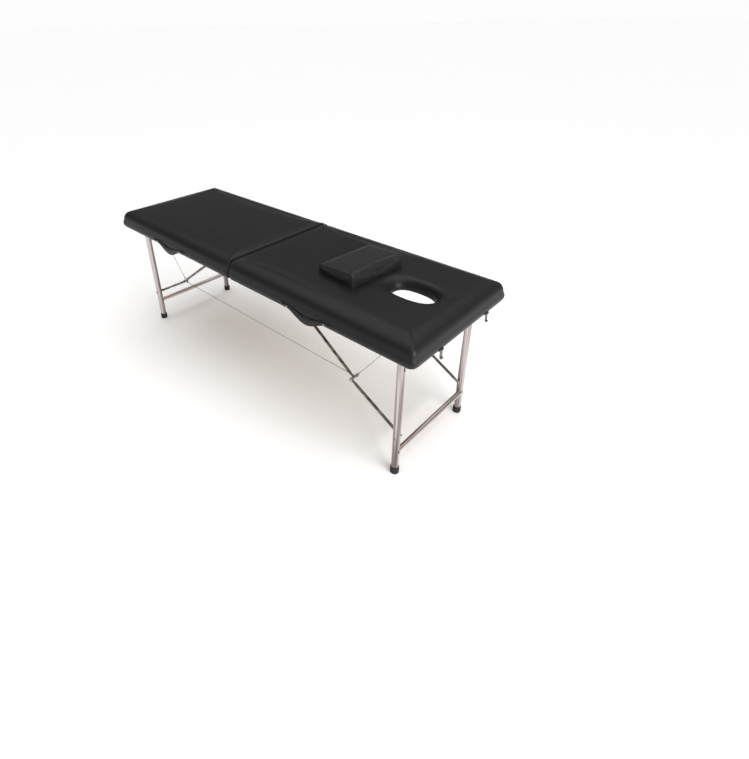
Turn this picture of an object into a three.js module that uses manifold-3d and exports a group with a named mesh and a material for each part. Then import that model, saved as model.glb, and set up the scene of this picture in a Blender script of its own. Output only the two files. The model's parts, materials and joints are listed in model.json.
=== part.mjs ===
// Portable two-section facial treatment bed: padded folding top with a face hole, two tubular
// leg frames, jointed knee braces with wire stays, carry handles, closing hasps and a loose
// wedge pillow. Millimetres, +Z up, origin on the floor below the middle of the top.
import * as THREE from 'three';
import { mergeVertices } from 'three/addons/utils/BufferGeometryUtils.js';
import Module from 'manifold-3d';

const wasm = await Module();
wasm.setup();

// Driving dimensions
const BED_LENGTH = 1850;
const BED_WIDTH = 600;
const BED_HEIGHT = 650;
const PANEL_THICKNESS = 83;
const FIT_GAP = 0.3; // clearance between pieces that touch
const FOLD_GAP = 1; // between the two halves
const TUBE_SIDES = 16; // flats round a leg, foot cap or crossbar

// Top
const COVER_THICKNESS = 1.5;
const RIM_HEIGHT = 40;
const RIM_THICKNESS = 18;
const BOARD_THICKNESS = 4.4;
const OUTER_EDGE_RADIUS = 38;
const FOLD_EDGE_RADIUS = 20;
const PLAN_CORNER_RADIUS = 24;
const FOLD_CORNER_RADIUS = 14;
const FACE_HOLE = {
  x: 710,
  halfWidth: 54,
  topHalfWidth: 66,
  lengthRatio: 1.6,
  fullness: 2.5, // 2 would be an ellipse, more is squarer
};

// Centre hinge
const HINGE_LENGTH = 560;
const HINGE_KNUCKLES = 8;
const HINGE_DROP = 3.5; // both hinge axes below the rims
const HINGE_PIN_SPACING = 8; // each half turns on a pin of its own
const KNUCKLE_RADIUS = 3.2;
const HINGE_PIN_RADIUS = 1.5;
const HINGE_WEB = 6; // width of the link's webs between knuckles
const HINGE_LEAF = { width: 34, thickness: 1.5 };

// Leg frames
const LEG = { x: 832, y: 225, radius: 14, wall: 1.5, pivotHeight: 583, top: 14 };
const FOOT_CAP = { radius: 17, height: 28, sole: 5 };
const CROSSBAR = { radius: 11, wall: 1.5, offset: 6, lowHeight: 110, highHeight: 488 };
const BRACKET = { plateHalf: 24, plateThickness: 2.4, earHalf: 13, earThickness: 3 };
const PIVOT_BOLT_RADIUS = 4;
const BOLT_CLEARANCE = 0.4;
const BOLT_HEAD = { radius: 6.5, height: 2.5 };

// Knee braces: the lower link hangs on the leg, the upper link under the board
const BRACE = { radius: 6, tabHalf: 6, tabThickness: 4, tabLength: 26, pinRadius: 3 };
const LOWER_BRACE_Y = 204;
const UPPER_BRACE_Y = 190;
const LONG_STAY_Y = 180;
const SHORT_STAY_Y = 175;
const BRACE_FOOT = { x: LEG.x, z: 170 };
const KNEE = { x: 595, z: 301 };
const BRACE_TOP_HEIGHT = 595;
const STAY = { radius: 1.25, eyeRadius: 4.9, eyeWire: 0.9 };
const STAY_ANCHOR = { x: 815, z: 597 };

// Trim
const HANDLE = {
  x: 462,
  z: 585,
  length: 250,
  drop: 44,
  width: 31,
  thickness: 9,
  end: 4.5, // half the height of the strap's ends
  endLength: 16, // rounded at each end, to turn on its pin
  standOff: 1.9, // from the side of the bed
  pinRadius: 2.2,
};
const HANDLE_PLATE = {
  height: 26,
  inside: 15, // its reach on the strap's side of the strap's end
  beyond: 14,
  thickness: 1,
  earThickness: 3,
};
const HASP = {
  y: 150,
  pivotHeight: 572,
  pinOffset: 6, // out from the head end
  pinRadius: 1.6,
  reach: 27,
  width: 14,
  thickness: 2.5,
  plateThickness: 1.5,
  holeRadius: 4,
  postHeight: 569,
  postRadius: 2.6,
};
const PILLOW = { x: 464, length: 188, width: 280, high: 57, low: 40, round: 9, turn: -5 };

// Heights and places that follow from the above
const rimBottom = BED_HEIGHT - PANEL_THICKNESS;
const boardBottom = rimBottom + RIM_HEIGHT + FIT_GAP;
const foamBottom = boardBottom + BOARD_THICKNESS + FIT_GAP;
const hingeHeight = rimBottom - HINGE_DROP;
const halfLength = BED_LENGTH / 2;
const halfWidth = BED_WIDTH / 2;
const coreInset = COVER_THICKNESS + FIT_GAP;
const plateTop = boardBottom - 0.4; // plates screwed up against the board

// The upper link's top pivot sits where the knee folds flat under the board once the leg has
// turned a quarter: both links then end at the folded knee.
const foldedFootX = LEG.x - (LEG.pivotHeight - BRACE_FOOT.z);
const lowerBraceLength = Math.hypot(BRACE_FOOT.x - KNEE.x, KNEE.z - BRACE_FOOT.z);
const foldedKneeX = foldedFootX
  + Math.sqrt(lowerBraceLength ** 2 - (BRACE_TOP_HEIGHT - LEG.pivotHeight) ** 2);
const braceTopX = (foldedKneeX ** 2 - KNEE.x ** 2 - (BRACE_TOP_HEIGHT - KNEE.z) ** 2)
  / (2 * (foldedKneeX - KNEE.x));

const finish = (color, roughness, metalness) => () => (
  new THREE.MeshStandardMaterial({ color, roughness, metalness }));
const leatherette = finish(0x222222, 0.45, 0);
const foam = finish(0xcfc9a8, 0.95, 0);
const plywood = finish(0xb98f5e, 0.7, 0);
const timber = finish(0xa9794a, 0.75, 0);
const tubeSteel = finish(0xcdc6c6, 0.25, 1);
const braceSteel = finish(0x8f8889, 0.35, 1);
const plateSteel = finish(0xb0aead, 0.4, 1);
const wireSteel = finish(0xb8b8ba, 0.35, 1);
const rubber = finish(0x2a2a2c, 0.85, 0);

// A closed three.js geometry as a solid that can be joined and cut
function solid(geometry) {
  const bare = geometry.clone();
  bare.deleteAttribute('normal');
  bare.deleteAttribute('uv');
  const merged = mergeVertices(bare, 1e-4);
  return new wasm.Manifold(new wasm.Mesh({
    numProp: 3,
    vertProperties: new Float32Array(merged.attributes.position.array),
    triVerts: new Uint32Array(merged.index.array),
  }));
}

// A solid as a named mesh
function piece(name, shape, material) {
  const { vertProperties, triVerts } = shape.getMesh();
  const geometry = new THREE.BufferGeometry();
  geometry.setAttribute('position', new THREE.BufferAttribute(vertProperties, 3));
  geometry.setIndex(new THREE.BufferAttribute(triVerts, 1));
  geometry.computeVertexNormals();
  const mesh = new THREE.Mesh(geometry, material());
  mesh.name = name;
  return mesh;
}

function at(object, x, y, z) {
  object.position.set(x, y, z);
  return object;
}

function block([x0, x1], [y0, y1], [z0, z1]) {
  const geometry = new THREE.BoxGeometry(x1 - x0, y1 - y0, z1 - z0);
  return solid(geometry.translate((x0 + x1) / 2, (y0 + y1) / 2, (z0 + z1) / 2));
}

// A round bar between two points
function rod(from, to, radius, sides = 10) {
  const start = new THREE.Vector3(...from);
  const span = new THREE.Vector3(...to).sub(start);
  const geometry = new THREE.CylinderGeometry(radius, radius, span.length(), sides);
  const turn = new THREE.Quaternion().setFromUnitVectors(
    new THREE.Vector3(0, 1, 0),
    span.clone().normalize(),
  );
  geometry.applyQuaternion(turn);
  return solid(geometry.translate(...start.addScaledVector(span, 0.5).toArray()));
}

// A round bar along Y, centred on (x, z)
const crossRod = (x, z, y0, y1, radius, sides = 10) => rod([x, y0, z], [x, y1, z], radius, sides);

// An outline drawn in the XZ plane, given thickness along Y
function plateXZ(shape, [y0, y1], curveSegments = 5) {
  const geometry = new THREE.ExtrudeGeometry(shape, {
    depth: y1 - y0,
    bevelEnabled: false,
    curveSegments,
  });
  return solid(geometry.rotateX(Math.PI / 2).translate(0, y1, 0));
}

function plateXY(shape, [z0, z1], curveSegments = 5) {
  const geometry = new THREE.ExtrudeGeometry(shape, {
    depth: z1 - z0,
    bevelEnabled: false,
    curveSegments,
  });
  return solid(geometry.translate(0, 0, z0));
}

function union(first, ...others) {
  return others.reduce((whole, next) => whole.add(next), first);
}

// A rectangle with its own radius at the low-x and high-x corners
function roundedOutline([x0, x1], [y0, y1], lowRadius, highRadius) {
  const shape = new THREE.Shape();
  shape.moveTo(x0 + lowRadius, y0);
  shape.lineTo(x1 - highRadius, y0);
  shape.absarc(x1 - highRadius, y0 + highRadius, highRadius, -Math.PI / 2, 0);
  shape.lineTo(x1, y1 - highRadius);
  shape.absarc(x1 - highRadius, y1 - highRadius, highRadius, 0, Math.PI / 2);
  shape.lineTo(x0 + lowRadius, y1);
  shape.absarc(x0 + lowRadius, y1 - lowRadius, lowRadius, Math.PI / 2, Math.PI);
  shape.lineTo(x0, y0 + lowRadius);
  shape.absarc(x0 + lowRadius, y0 + lowRadius, lowRadius, Math.PI, Math.PI * 1.5);
  return shape;
}

// A flat-bottomed section whose two top corners are rounded
function domedSection([a0, a1], [z0, z1], lowRadius, highRadius) {
  const shape = new THREE.Shape();
  shape.moveTo(a0, z0);
  shape.lineTo(a1, z0);
  shape.lineTo(a1, z1 - highRadius);
  shape.absarc(a1 - highRadius, z1 - highRadius, highRadius, 0, Math.PI / 2);
  shape.lineTo(a0 + lowRadius, z1);
  shape.absarc(a0 + lowRadius, z1 - lowRadius, lowRadius, Math.PI / 2, Math.PI);
  shape.lineTo(a0, z0);
  return shape;
}

const panelSpanX = (inset) => [FOLD_GAP / 2 + inset, halfLength - inset];
const panelSpanY = (inset) => [-halfWidth + inset, halfWidth - inset];

function panelPrism(inset, [z0, z1]) {
  const corners = [FOLD_CORNER_RADIUS - inset, PLAN_CORNER_RADIUS - inset];
  return plateXY(roundedOutline(panelSpanX(inset), panelSpanY(inset), ...corners), [z0, z1]);
}

// One half of the padded top, shrunk all round by inset: plan outline, long section and
// cross section intersect, so every top edge is rounded
function paddedSlab(inset, bottom) {
  const heights = [bottom, BED_HEIGHT - inset];
  const outer = OUTER_EDGE_RADIUS - inset;
  const longSection = plateXZ(
    domedSection(panelSpanX(inset), heights, FOLD_EDGE_RADIUS - inset, outer),
    [-halfWidth, halfWidth],
  );
  const crossSection = new THREE.ExtrudeGeometry(
    domedSection(panelSpanY(inset), heights, outer, outer),
    { depth: BED_LENGTH, bevelEnabled: false, curveSegments: 5 },
  );
  crossSection.rotateX(Math.PI / 2).rotateZ(Math.PI / 2);
  return panelPrism(inset, heights).intersect(longSection).intersect(solid(crossSection));
}

// The face hole, a full oval that flares towards the top
function faceHole(grow, bottom) {
  const narrow = FACE_HOLE.halfWidth + grow;
  const wide = FACE_HOLE.topHalfWidth + grow;
  const above = BED_HEIGHT + 1;
  const profile = [
    [0, bottom],
    [narrow, bottom],
    [narrow, foamBottom],
    [narrow + 2, foamBottom + 14],
    [narrow + 6, foamBottom + 26],
    [wide, BED_HEIGHT - grow],
    [wide, above],
    [0, above],
  ].map(([r, z]) => new THREE.Vector2(r, z));
  const geometry = new THREE.LatheGeometry(profile, 24).rotateX(Math.PI / 2);
  const points = geometry.attributes.position;
  for (let i = 0; i < points.count; i += 1) {
    const [x, y] = [points.getX(i), points.getY(i)];
    const angle = Math.atan2(y, x);
    const swell = (Math.abs(Math.cos(angle)) ** FACE_HOLE.fullness
      + Math.abs(Math.sin(angle)) ** FACE_HOLE.fullness) ** (-1 / FACE_HOLE.fullness);
    points.setXY(i, x * swell, y * swell);
  }
  geometry.scale(FACE_HOLE.lengthRatio, 1, 1);
  return solid(geometry.translate(FACE_HOLE.x, 0, 0));
}

function paddedTop(half) {
  const isHead = half === 'head';
  const pierce = (shape, grow, bottom) => (
    isHead ? shape.subtract(faceHole(grow, bottom)) : shape);

  const hollow = pierce(
    paddedSlab(COVER_THICKNESS, rimBottom - 5),
    COVER_THICKNESS,
    boardBottom - FIT_GAP,
  );
  const below = rimBottom - 20;
  const cover = pierce(paddedSlab(0, rimBottom), 0, below).subtract(hollow);
  const pad = pierce(paddedSlab(coreInset, foamBottom), coreInset, below);
  const boardHeights = [boardBottom, boardBottom + BOARD_THICKNESS];
  const board = pierce(panelPrism(coreInset, boardHeights), coreInset, below);

  const rimInset = coreInset + RIM_THICKNESS;
  const inside = roundedOutline(
    panelSpanX(rimInset),
    panelSpanY(rimInset),
    2,
    PLAN_CORNER_RADIUS - rimInset,
  );
  const rim = panelPrism(coreInset, [rimBottom, rimBottom + RIM_HEIGHT])
    .subtract(plateXY(inside, [rimBottom - 1, rimBottom + RIM_HEIGHT + 1]));

  return [
    piece(`${half}_cover`, cover, leatherette),
    piece(`${half}_foam`, pad, foam),
    piece(`${half}_board`, board, plywood),
    piece(`${half}_rim`, rim, timber),
  ];
}

// One leaf of the long centre hinge, lying to the +X side of its own pin
function hingeLeaf(name) {
  const pin = HINGE_PIN_SPACING / 2;
  const pitch = HINGE_LENGTH / HINGE_KNUCKLES;
  const leafTop = KNUCKLE_RADIUS;
  const heights = [leafTop - HINGE_LEAF.thickness, leafTop];
  const clear = pin + KNUCKLE_RADIUS + 0.5;
  const ends = [-HINGE_LENGTH / 2, HINGE_LENGTH / 2];
  const besideWeb = HINGE_WEB / 2 + FIT_GAP;
  let leaf = block([clear, HINGE_LEAF.width], ends, heights);
  for (let i = 0; i < HINGE_KNUCKLES; i += 1) {
    const from = ends[0] + i * pitch + besideWeb;
    const to = ends[0] + (i + 1) * pitch - besideWeb;
    leaf = union(leaf, block([pin, clear + 1], [from, to], heights));
    leaf = leaf.add(crossRod(pin, 0, from, to, KNUCKLE_RADIUS));
  }
  const bore = crossRod(pin, 0, ends[0] - 1, ends[1] + 1, HINGE_PIN_RADIUS + FIT_GAP);
  return piece(name, leaf.subtract(bore), plateSteel);
}

// The link between the two leaves: two pins joined by a web beside every knuckle
function hingeLink() {
  const pin = HINGE_PIN_SPACING / 2;
  const pitch = HINGE_LENGTH / HINGE_KNUCKLES;
  const reach = (HINGE_LENGTH + HINGE_WEB) / 2;
  const spans = [-pin, pin].map((x) => crossRod(x, 0, -reach, reach, HINGE_PIN_RADIUS));
  for (let i = 0; i <= HINGE_KNUCKLES; i += 1) {
    const from = i * pitch - reach;
    const to = from + HINGE_WEB;
    spans.push(
      block([-pin, pin], [from, to], [-KNUCKLE_RADIUS + 0.4, KNUCKLE_RADIUS - 0.4]),
      crossRod(-pin, 0, from, to, KNUCKLE_RADIUS),
      crossRod(pin, 0, from, to, KNUCKLE_RADIUS),
    );
  }
  return piece('hinge_link', union(...spans), wireSteel);
}

// A leg tube and its brace bolt; the brace hangs on the side that faces the bed's middle
function leg(name, inward) {
  const foot = FOOT_CAP.sole + FIT_GAP - LEG.pivotHeight;
  const bolt = BRACE_FOOT.z - LEG.pivotHeight;
  const tab = LEG.y - LOWER_BRACE_Y;
  const tabFace = BRACE.tabThickness / 2 + FIT_GAP;
  const along = (a, b, radius) => crossRod(0, bolt, inward * a, inward * b, radius);
  const shape = union(
    rod([0, 0, foot], [0, 0, LEG.top], LEG.radius, TUBE_SIDES),
    along(LEG.radius - 2, tab - tabFace, BRACE.radius),
    along(LEG.radius - 2, tab + tabFace + 1, BRACE.pinRadius),
    along(tab + tabFace, tab + tabFace + BOLT_HEAD.height, BOLT_HEAD.radius),
  );
  const inside = rod([0, 0, foot - 1], [0, 0, LEG.top + 1], LEG.radius - LEG.wall, TUBE_SIDES);
  const boltHole = crossRod(
    0,
    0,
    -LEG.radius - 1,
    LEG.radius + 1,
    PIVOT_BOLT_RADIUS + BOLT_CLEARANCE,
  );
  return piece(name, shape.subtract(inside).subtract(boltHole), tubeSteel);
}

function footCap(name) {
  const inner = LEG.radius + FIT_GAP;
  const profile = [
    [0, 0],
    [FOOT_CAP.radius - 1.5, 0],
    [FOOT_CAP.radius, 2],
    [FOOT_CAP.radius, FOOT_CAP.height - 2],
    [FOOT_CAP.radius - 1, FOOT_CAP.height],
    [inner, FOOT_CAP.height],
    [inner, FOOT_CAP.sole],
    [0, FOOT_CAP.sole],
  ].map(([r, z]) => new THREE.Vector2(r, z));
  const geometry = new THREE.LatheGeometry(profile, TUBE_SIDES).rotateX(Math.PI / 2);
  return at(piece(name, solid(geometry), rubber), 0, 0, -LEG.pivotHeight);
}

// A tube between the two legs, its ends shaped to sit round them
function crossbar(name, height) {
  const z = height - LEG.pivotHeight;
  const reach = LEG.y - LEG.radius / 2;
  let shape = crossRod(CROSSBAR.offset, z, -reach, reach, CROSSBAR.radius, TUBE_SIDES);
  for (const side of [-1, 1]) {
    const y = side * LEG.y;
    shape = shape.subtract(
      rod([0, y, z - 30], [0, y, z + 30], LEG.radius + FIT_GAP, TUBE_SIDES),
    );
  }
  const inner = CROSSBAR.radius - CROSSBAR.wall;
  return piece(
    name,
    shape.subtract(crossRod(CROSSBAR.offset, z, -LEG.y, LEG.y, inner, TUBE_SIDES)),
    tubeSteel,
  );
}

// A bracket under the board: two ears round the leg, the pivot bolt, and an ear for the stay
function legBracket(name, inward) {
  const legFace = LEG.radius + FIT_GAP;
  const ear = BRACKET.earThickness;
  const top = plateTop - LEG.pivotHeight;
  const plate = [top - BRACKET.plateThickness, top];
  const half = BRACKET.earHalf;
  const anchorX = STAY_ANCHOR.x - LEG.x;
  const anchorZ = STAY_ANCHOR.z - LEG.pivotHeight;
  const anchorY = LEG.y - SHORT_STAY_Y;
  const spanY = (a, b) => [Math.min(inward * a, inward * b), Math.max(inward * a, inward * b)];

  const earShape = new THREE.Shape();
  earShape.moveTo(-half, plate[1] - 1);
  earShape.lineTo(-half, 0);
  earShape.absarc(0, 0, half, Math.PI, Math.PI * 2);
  earShape.lineTo(half, plate[1] - 1);
  const earAt = (a, b) => plateXZ(earShape, spanY(a, b));

  const shape = union(
    block(
      [-BRACKET.plateHalf, BRACKET.plateHalf],
      spanY(-legFace - ear - 5, anchorY + 9),
      plate,
    ),
    earAt(legFace, legFace + ear),
    earAt(-legFace - ear, -legFace),
    crossRod(0, 0, -legFace - ear - 3, legFace + ear + 1, PIVOT_BOLT_RADIUS),
    block([anchorX - 5, anchorX + 5], spanY(anchorY + 5, anchorY + 7), [anchorZ - 5, plate[1]]),
    crossRod(anchorX, anchorZ, inward * (anchorY - 4), inward * (anchorY + 6), BRACE.pinRadius),
  );
  return piece(name, shape, plateSteel);
}

function legFrame(half, sideName) {
  const frame = new THREE.Group();
  for (const side of [-1, 1]) {
    const which = sideName(side);
    const foot = at(new THREE.Group(), 0, side * LEG.y, 0);
    foot.add(
      leg(`${half}_leg_${which}`, -side),
      footCap(`${half}_foot_cap_${which}`),
      legBracket(`${half}_leg_bracket_${which}`, -side),
    );
    frame.add(foot);
  }
  frame.add(
    crossbar(`${half}_lower_crossbar`, CROSSBAR.lowHeight),
    crossbar(`${half}_upper_crossbar`, CROSSBAR.highHeight),
  );
  return at(frame, LEG.x, 0, LEG.pivotHeight);
}

// A flattened tube end: a tab along +X with its round end on the origin
function tubeEnd(length, drilled) {
  const half = BRACE.tabHalf;
  const shape = new THREE.Shape();
  shape.moveTo(length, half);
  shape.lineTo(0, half);
  shape.absarc(0, 0, half, Math.PI / 2, Math.PI * 1.5);
  shape.lineTo(length, -half);
  const tab = plateXZ(shape, [-BRACE.tabThickness / 2, BRACE.tabThickness / 2]);
  const hole = BRACE.pinRadius + BOLT_CLEARANCE;
  return drilled ? tab.subtract(crossRod(0, 0, -5, 5, hole)) : tab;
}

// A brace link of the given length along +X from its drilled end, with bolt parts at the knee
function braceLink(length, kneeParts) {
  const far = tubeEnd(BRACE.tabLength, false).rotate([0, 180, 0]).translate([length, 0, 0]);
  return union(
    tubeEnd(BRACE.tabLength, true),
    far,
    rod([BRACE.tabLength - 4, 0, 0], [length - BRACE.tabLength + 4, 0, 0], BRACE.radius, 12),
    ...kneeParts,
  );
}

// Turns something drawn along +X so that it runs from one XZ point to another
function aim(object, from, to) {
  object.rotation.y = -Math.atan2(to.z - from.z, to.x - from.x);
  return object;
}

function braces(half, side, which) {
  const tabFace = BRACE.tabThickness / 2;
  const top = { x: braceTopX, z: BRACE_TOP_HEIGHT };
  const inward = -side;

  const upperLength = Math.hypot(KNEE.x - top.x, KNEE.z - top.z);
  const bossEnd = LOWER_BRACE_Y - BRACE.radius - 0.5; // so it passes beside the lower link
  const innerEnd = UPPER_BRACE_Y - SHORT_STAY_Y + 4;
  const kneeRod = (a, b, radius) => crossRod(upperLength, 0, inward * a, inward * b, radius);
  const upper = piece(`${half}_upper_brace_${which}`, braceLink(upperLength, [
    kneeRod(0, UPPER_BRACE_Y - bossEnd, BRACE.tabHalf),
    kneeRod(0, innerEnd, BRACE.pinRadius),
    kneeRod(innerEnd - 1, innerEnd + 1.5, BOLT_HEAD.radius),
  ]), braceSteel);
  aim(at(upper, top.x, side * UPPER_BRACE_Y, top.z), top, KNEE);

  const fromMiddle = (y) => side * (y - LOWER_BRACE_Y);
  const lower = piece(`${half}_lower_brace_${which}`, braceLink(lowerBraceLength, [
    crossRod(
      lowerBraceLength,
      0,
      fromMiddle(bossEnd + 0.4),
      side * (tabFace + 3),
      BRACE.tabHalf,
    ),
  ]), braceSteel);
  aim(at(lower, BRACE_FOOT.x, side * LOWER_BRACE_Y, BRACE_FOOT.z), BRACE_FOOT, KNEE);

  return [upper, lower, braceBracket(`${half}_brace_bracket_${which}`, side)];
}

// A clevis under the board that holds the upper brace's top pin
function braceBracket(name, side) {
  const inner = BRACE.tabThickness / 2 + 0.5;
  const ear = BRACKET.earThickness;
  const top = plateTop - BRACE_TOP_HEIGHT;
  const back = -20;
  const front = 8;
  const flange = 12;
  const ears = [-1, 1].map((way) => {
    const near = way * inner;
    const far = way * (inner + ear);
    const wide = way * (inner + ear + flange);
    return block([back, front], [Math.min(near, far), Math.max(near, far)], [-7, top])
      .add(block([back, front], [Math.min(near, wide), Math.max(near, wide)], [top - 2, top]));
  });
  const shape = union(
    ...ears,
    block([back, back + 3], [-inner - 1, inner + 1], [-7, top]),
    crossRod(0, 0, -inner - ear - 2, inner + ear + 2, BRACE.pinRadius),
  );
  return at(piece(name, shape, plateSteel), braceTopX, side * UPPER_BRACE_Y, BRACE_TOP_HEIGHT);
}

// A wire rope along +X with an eye round the origin, and a second eye or a plain far end
function wireStay(length, farEye) {
  const eye = () => {
    const ring = new THREE.TorusGeometry(STAY.eyeRadius, STAY.eyeWire, 4, 10);
    return solid(ring.rotateX(Math.PI / 2));
  };
  const end = farEye ? length - STAY.eyeRadius : length;
  const rope = rod([STAY.eyeRadius, 0, 0], [end, 0, 0], STAY.radius, 8);
  const sleeve = (x) => rod([x, 0, 0], [x + 14, 0, 0], 2.2, 8);
  const shape = union(rope, eye(), sleeve(STAY.eyeRadius + 0.4));
  return farEye
    ? union(shape, eye().translate([length, 0, 0]), sleeve(length - STAY.eyeRadius - 14.4))
    : shape;
}

function stays(half, side, which) {
  const shortLength = Math.hypot(STAY_ANCHOR.x - KNEE.x, STAY_ANCHOR.z - KNEE.z);
  const short = piece(`${half}_short_stay_${which}`, wireStay(shortLength, true), wireSteel);
  aim(at(short, STAY_ANCHOR.x, side * SHORT_STAY_Y, STAY_ANCHOR.z), STAY_ANCHOR, KNEE);

  const long = piece(`${half}_long_stay_${which}`, wireStay(KNEE.x - 0.15, false), wireSteel);
  long.rotation.y = Math.PI;
  return [short, at(long, KNEE.x, side * LONG_STAY_Y, KNEE.z)];
}

// The carry strap lies in the XZ plane, hanging from its two round ends
function handleStrap() {
  const half = HANDLE.length / 2;
  const bump = (x, reach) => (Math.abs(x) < reach ? (1 + Math.cos(Math.PI * x / reach)) / 2 : 0);
  const outer = (x) => -HANDLE.end - (HANDLE.drop - HANDLE.end) * bump(x, half * 0.94);
  const inner = (x) => HANDLE.end
    - (HANDLE.drop - HANDLE.width + HANDLE.end) * bump(x, half * 0.78);
  const steps = 28;
  const xs = Array.from({ length: steps + 1 }, (_, i) => -half + (HANDLE.length * i) / steps);
  const shape = new THREE.Shape();
  shape.moveTo(xs[0], outer(xs[0]));
  xs.slice(1).forEach((x) => shape.lineTo(x, outer(x)));
  xs.slice().reverse().forEach((x) => shape.lineTo(x, inner(x)));
  const reach = HANDLE.thickness / 2;
  const endRod = (end, radius) => rod(
    [end * (half - HANDLE.endLength), 0, 0],
    [end * (half + 1), 0, 0],
    radius,
    12,
  );
  const endCorners = (end) => {
    const along = [end * (half - HANDLE.endLength + 0.1), end * (half + 1)];
    const around = block(along.sort((a, b) => a - b), [-2 * reach, 2 * reach], [-10, 10]);
    return around.subtract(endRod(end, HANDLE.end + 0.3));
  };
  return [-1, 1].reduce((strap, end) => (
    strap.subtract(endCorners(end)).subtract(endRod(end, HANDLE.pinRadius + BOLT_CLEARANCE))
  ), plateXZ(shape, [-reach, reach]));
}

// A plate on the side of the bed with an ear and a pin that the strap's end turns on
function handlePlate(end, outward) {
  const half = HANDLE.length / 2;
  const stand = HANDLE.thickness / 2 + HANDLE.standOff;
  const inX = (a, b) => [Math.min(end * a, end * b), Math.max(end * a, end * b)];
  const inY = (a, b) => [Math.min(outward * a, outward * b), Math.max(outward * a, outward * b)];
  const height = HANDLE_PLATE.height / 2;
  const ear = half + 0.5;
  return union(
    block(
      inX(half - HANDLE_PLATE.inside, half + HANDLE_PLATE.beyond),
      inY(-stand, -stand + HANDLE_PLATE.thickness),
      [-height, height],
    ),
    block(
      inX(ear, ear + HANDLE_PLATE.earThickness),
      inY(-stand, 4),
      [-HANDLE.end, HANDLE.end],
    ),
    rod([end * (half - 12), 0, 0], [end * (half + 2), 0, 0], HANDLE.pinRadius, 12),
  );
}

function handle(half, outward) {
  const group = at(
    new THREE.Group(),
    HANDLE.x,
    outward * (halfWidth + FIT_GAP + HANDLE.thickness / 2 + HANDLE.standOff),
    HANDLE.z,
  );
  const isHead = half === 'head';
  group.add(piece(`${half}_handle`, handleStrap(), leatherette));
  for (const end of [-1, 1]) {
    const place = (end < 0) === isHead ? 'left' : 'right';
    group.add(piece(`${half}_handle_plate_${place}`, handlePlate(end, outward), plateSteel));
  }
  return group;
}

// Hasp at the head end: a plate with a hinge pin, and a swinging arm with a hole
function haspPlate(name) {
  const half = HASP.width / 2;
  const lug = [0, HASP.pinOffset + 3];
  return piece(name, union(
    block([0, HASP.plateThickness], [-half - 5, half + 5], [-4, 22]),
    block(lug, [-half - 4, -half - 1], [-3, 3]),
    block(lug, [half + 1, half + 4], [-3, 3]),
    crossRod(HASP.pinOffset, 0, -half - 3, half + 3, HASP.pinRadius, 12),
  ), plateSteel);
}

function haspArm(name) {
  const half = HASP.width / 2;
  const thick = HASP.thickness / 2;
  const hole = 2 * hingeHeight - HINGE_PIN_SPACING - HASP.postHeight - HASP.pivotHeight;
  const curl = new THREE.Shape();
  curl.moveTo(-thick, 0);
  curl.lineTo(-thick, -HASP.reach);
  curl.quadraticCurveTo(-thick, -HASP.reach - 6, 6, -HASP.reach - 6);
  curl.lineTo(6, -HASP.reach - 3.5);
  curl.quadraticCurveTo(thick, -HASP.reach - 3.5, thick, -HASP.reach);
  curl.lineTo(thick, 0);
  const arm = union(
    plateXZ(curl, [-half, half], 3),
    crossRod(0, 0, -half, half, 3, 14),
  )
    .subtract(crossRod(0, 0, -half - 1, half + 1, HASP.pinRadius + FIT_GAP, 12))
    .subtract(rod([-5, 0, hole], [5, 0, hole], HASP.holeRadius, 14));
  return at(piece(name, arm, plateSteel), HASP.pinOffset, 0, 0);
}

// The post at the foot end that the arm's hole drops over when the bed is closed
function haspPost(name) {
  return piece(name, union(
    block([0, HASP.plateThickness], [-12, 12], [-2, 24]),
    rod([1, 0, 0], [8.5, 0, 0], HASP.postRadius, 12),
  ), plateSteel);
}

function hasps(half, sideName) {
  const group = at(new THREE.Group(), halfLength + FIT_GAP, 0, 0);
  for (const side of [-1, 1]) {
    const which = sideName(side);
    const isHead = half === 'head';
    const mount = at(
      new THREE.Group(),
      0,
      side * HASP.y,
      isHead ? HASP.pivotHeight : HASP.postHeight,
    );
    mount.add(...(isHead
      ? [haspPlate(`hasp_plate_${which}`), haspArm(`hasp_arm_${which}`)]
      : [haspPost(`hasp_post_${which}`)]));
    group.add(mount);
  }
  return group;
}

function pillow() {
  const {
    length, width, high, low, round,
  } = PILLOW;
  const half = length / 2;
  const shape = new THREE.Shape();
  shape.moveTo(-half + round, 0);
  shape.lineTo(half - round, 0);
  shape.quadraticCurveTo(half, 0, half, round);
  shape.lineTo(half, high - round);
  shape.quadraticCurveTo(half, high, half - round, high);
  shape.lineTo(-half + round, low);
  shape.quadraticCurveTo(-half, low, -half, low - round);
  shape.lineTo(-half, round);
  shape.quadraticCurveTo(-half, 0, -half + round, 0);
  const wedge = plateXZ(shape, [-width / 2, width / 2], 4);
  const plan = roundedOutline([-half, half], [-width / 2, width / 2], round, round);
  const mesh = piece('pillow', wedge.intersect(plateXY(plan, [-1, high + 1], 4)), leatherette);
  mesh.rotation.z = THREE.MathUtils.degToRad(PILLOW.turn);
  return at(mesh, PILLOW.x, 0, BED_HEIGHT + FIT_GAP);
}

// One half of the bed, drawn on the +X side; the foot half is the same, turned end for end
function bedHalf(half) {
  const isHead = half === 'head';
  const nearSide = isHead ? -1 : 1;
  const sideName = (side) => (side === nearSide ? 'near' : 'far');
  const group = new THREE.Group();
  group.add(...paddedTop(half));
  group.add(at(hingeLeaf(`hinge_leaf_${half}`), 0, 0, hingeHeight));
  group.add(legFrame(half, sideName));
  for (const side of [-1, 1]) {
    group.add(...braces(half, side, sideName(side)), ...stays(half, side, sideName(side)));
  }
  group.add(handle(half, nearSide), hasps(half, sideName));
  return group;
}

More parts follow.
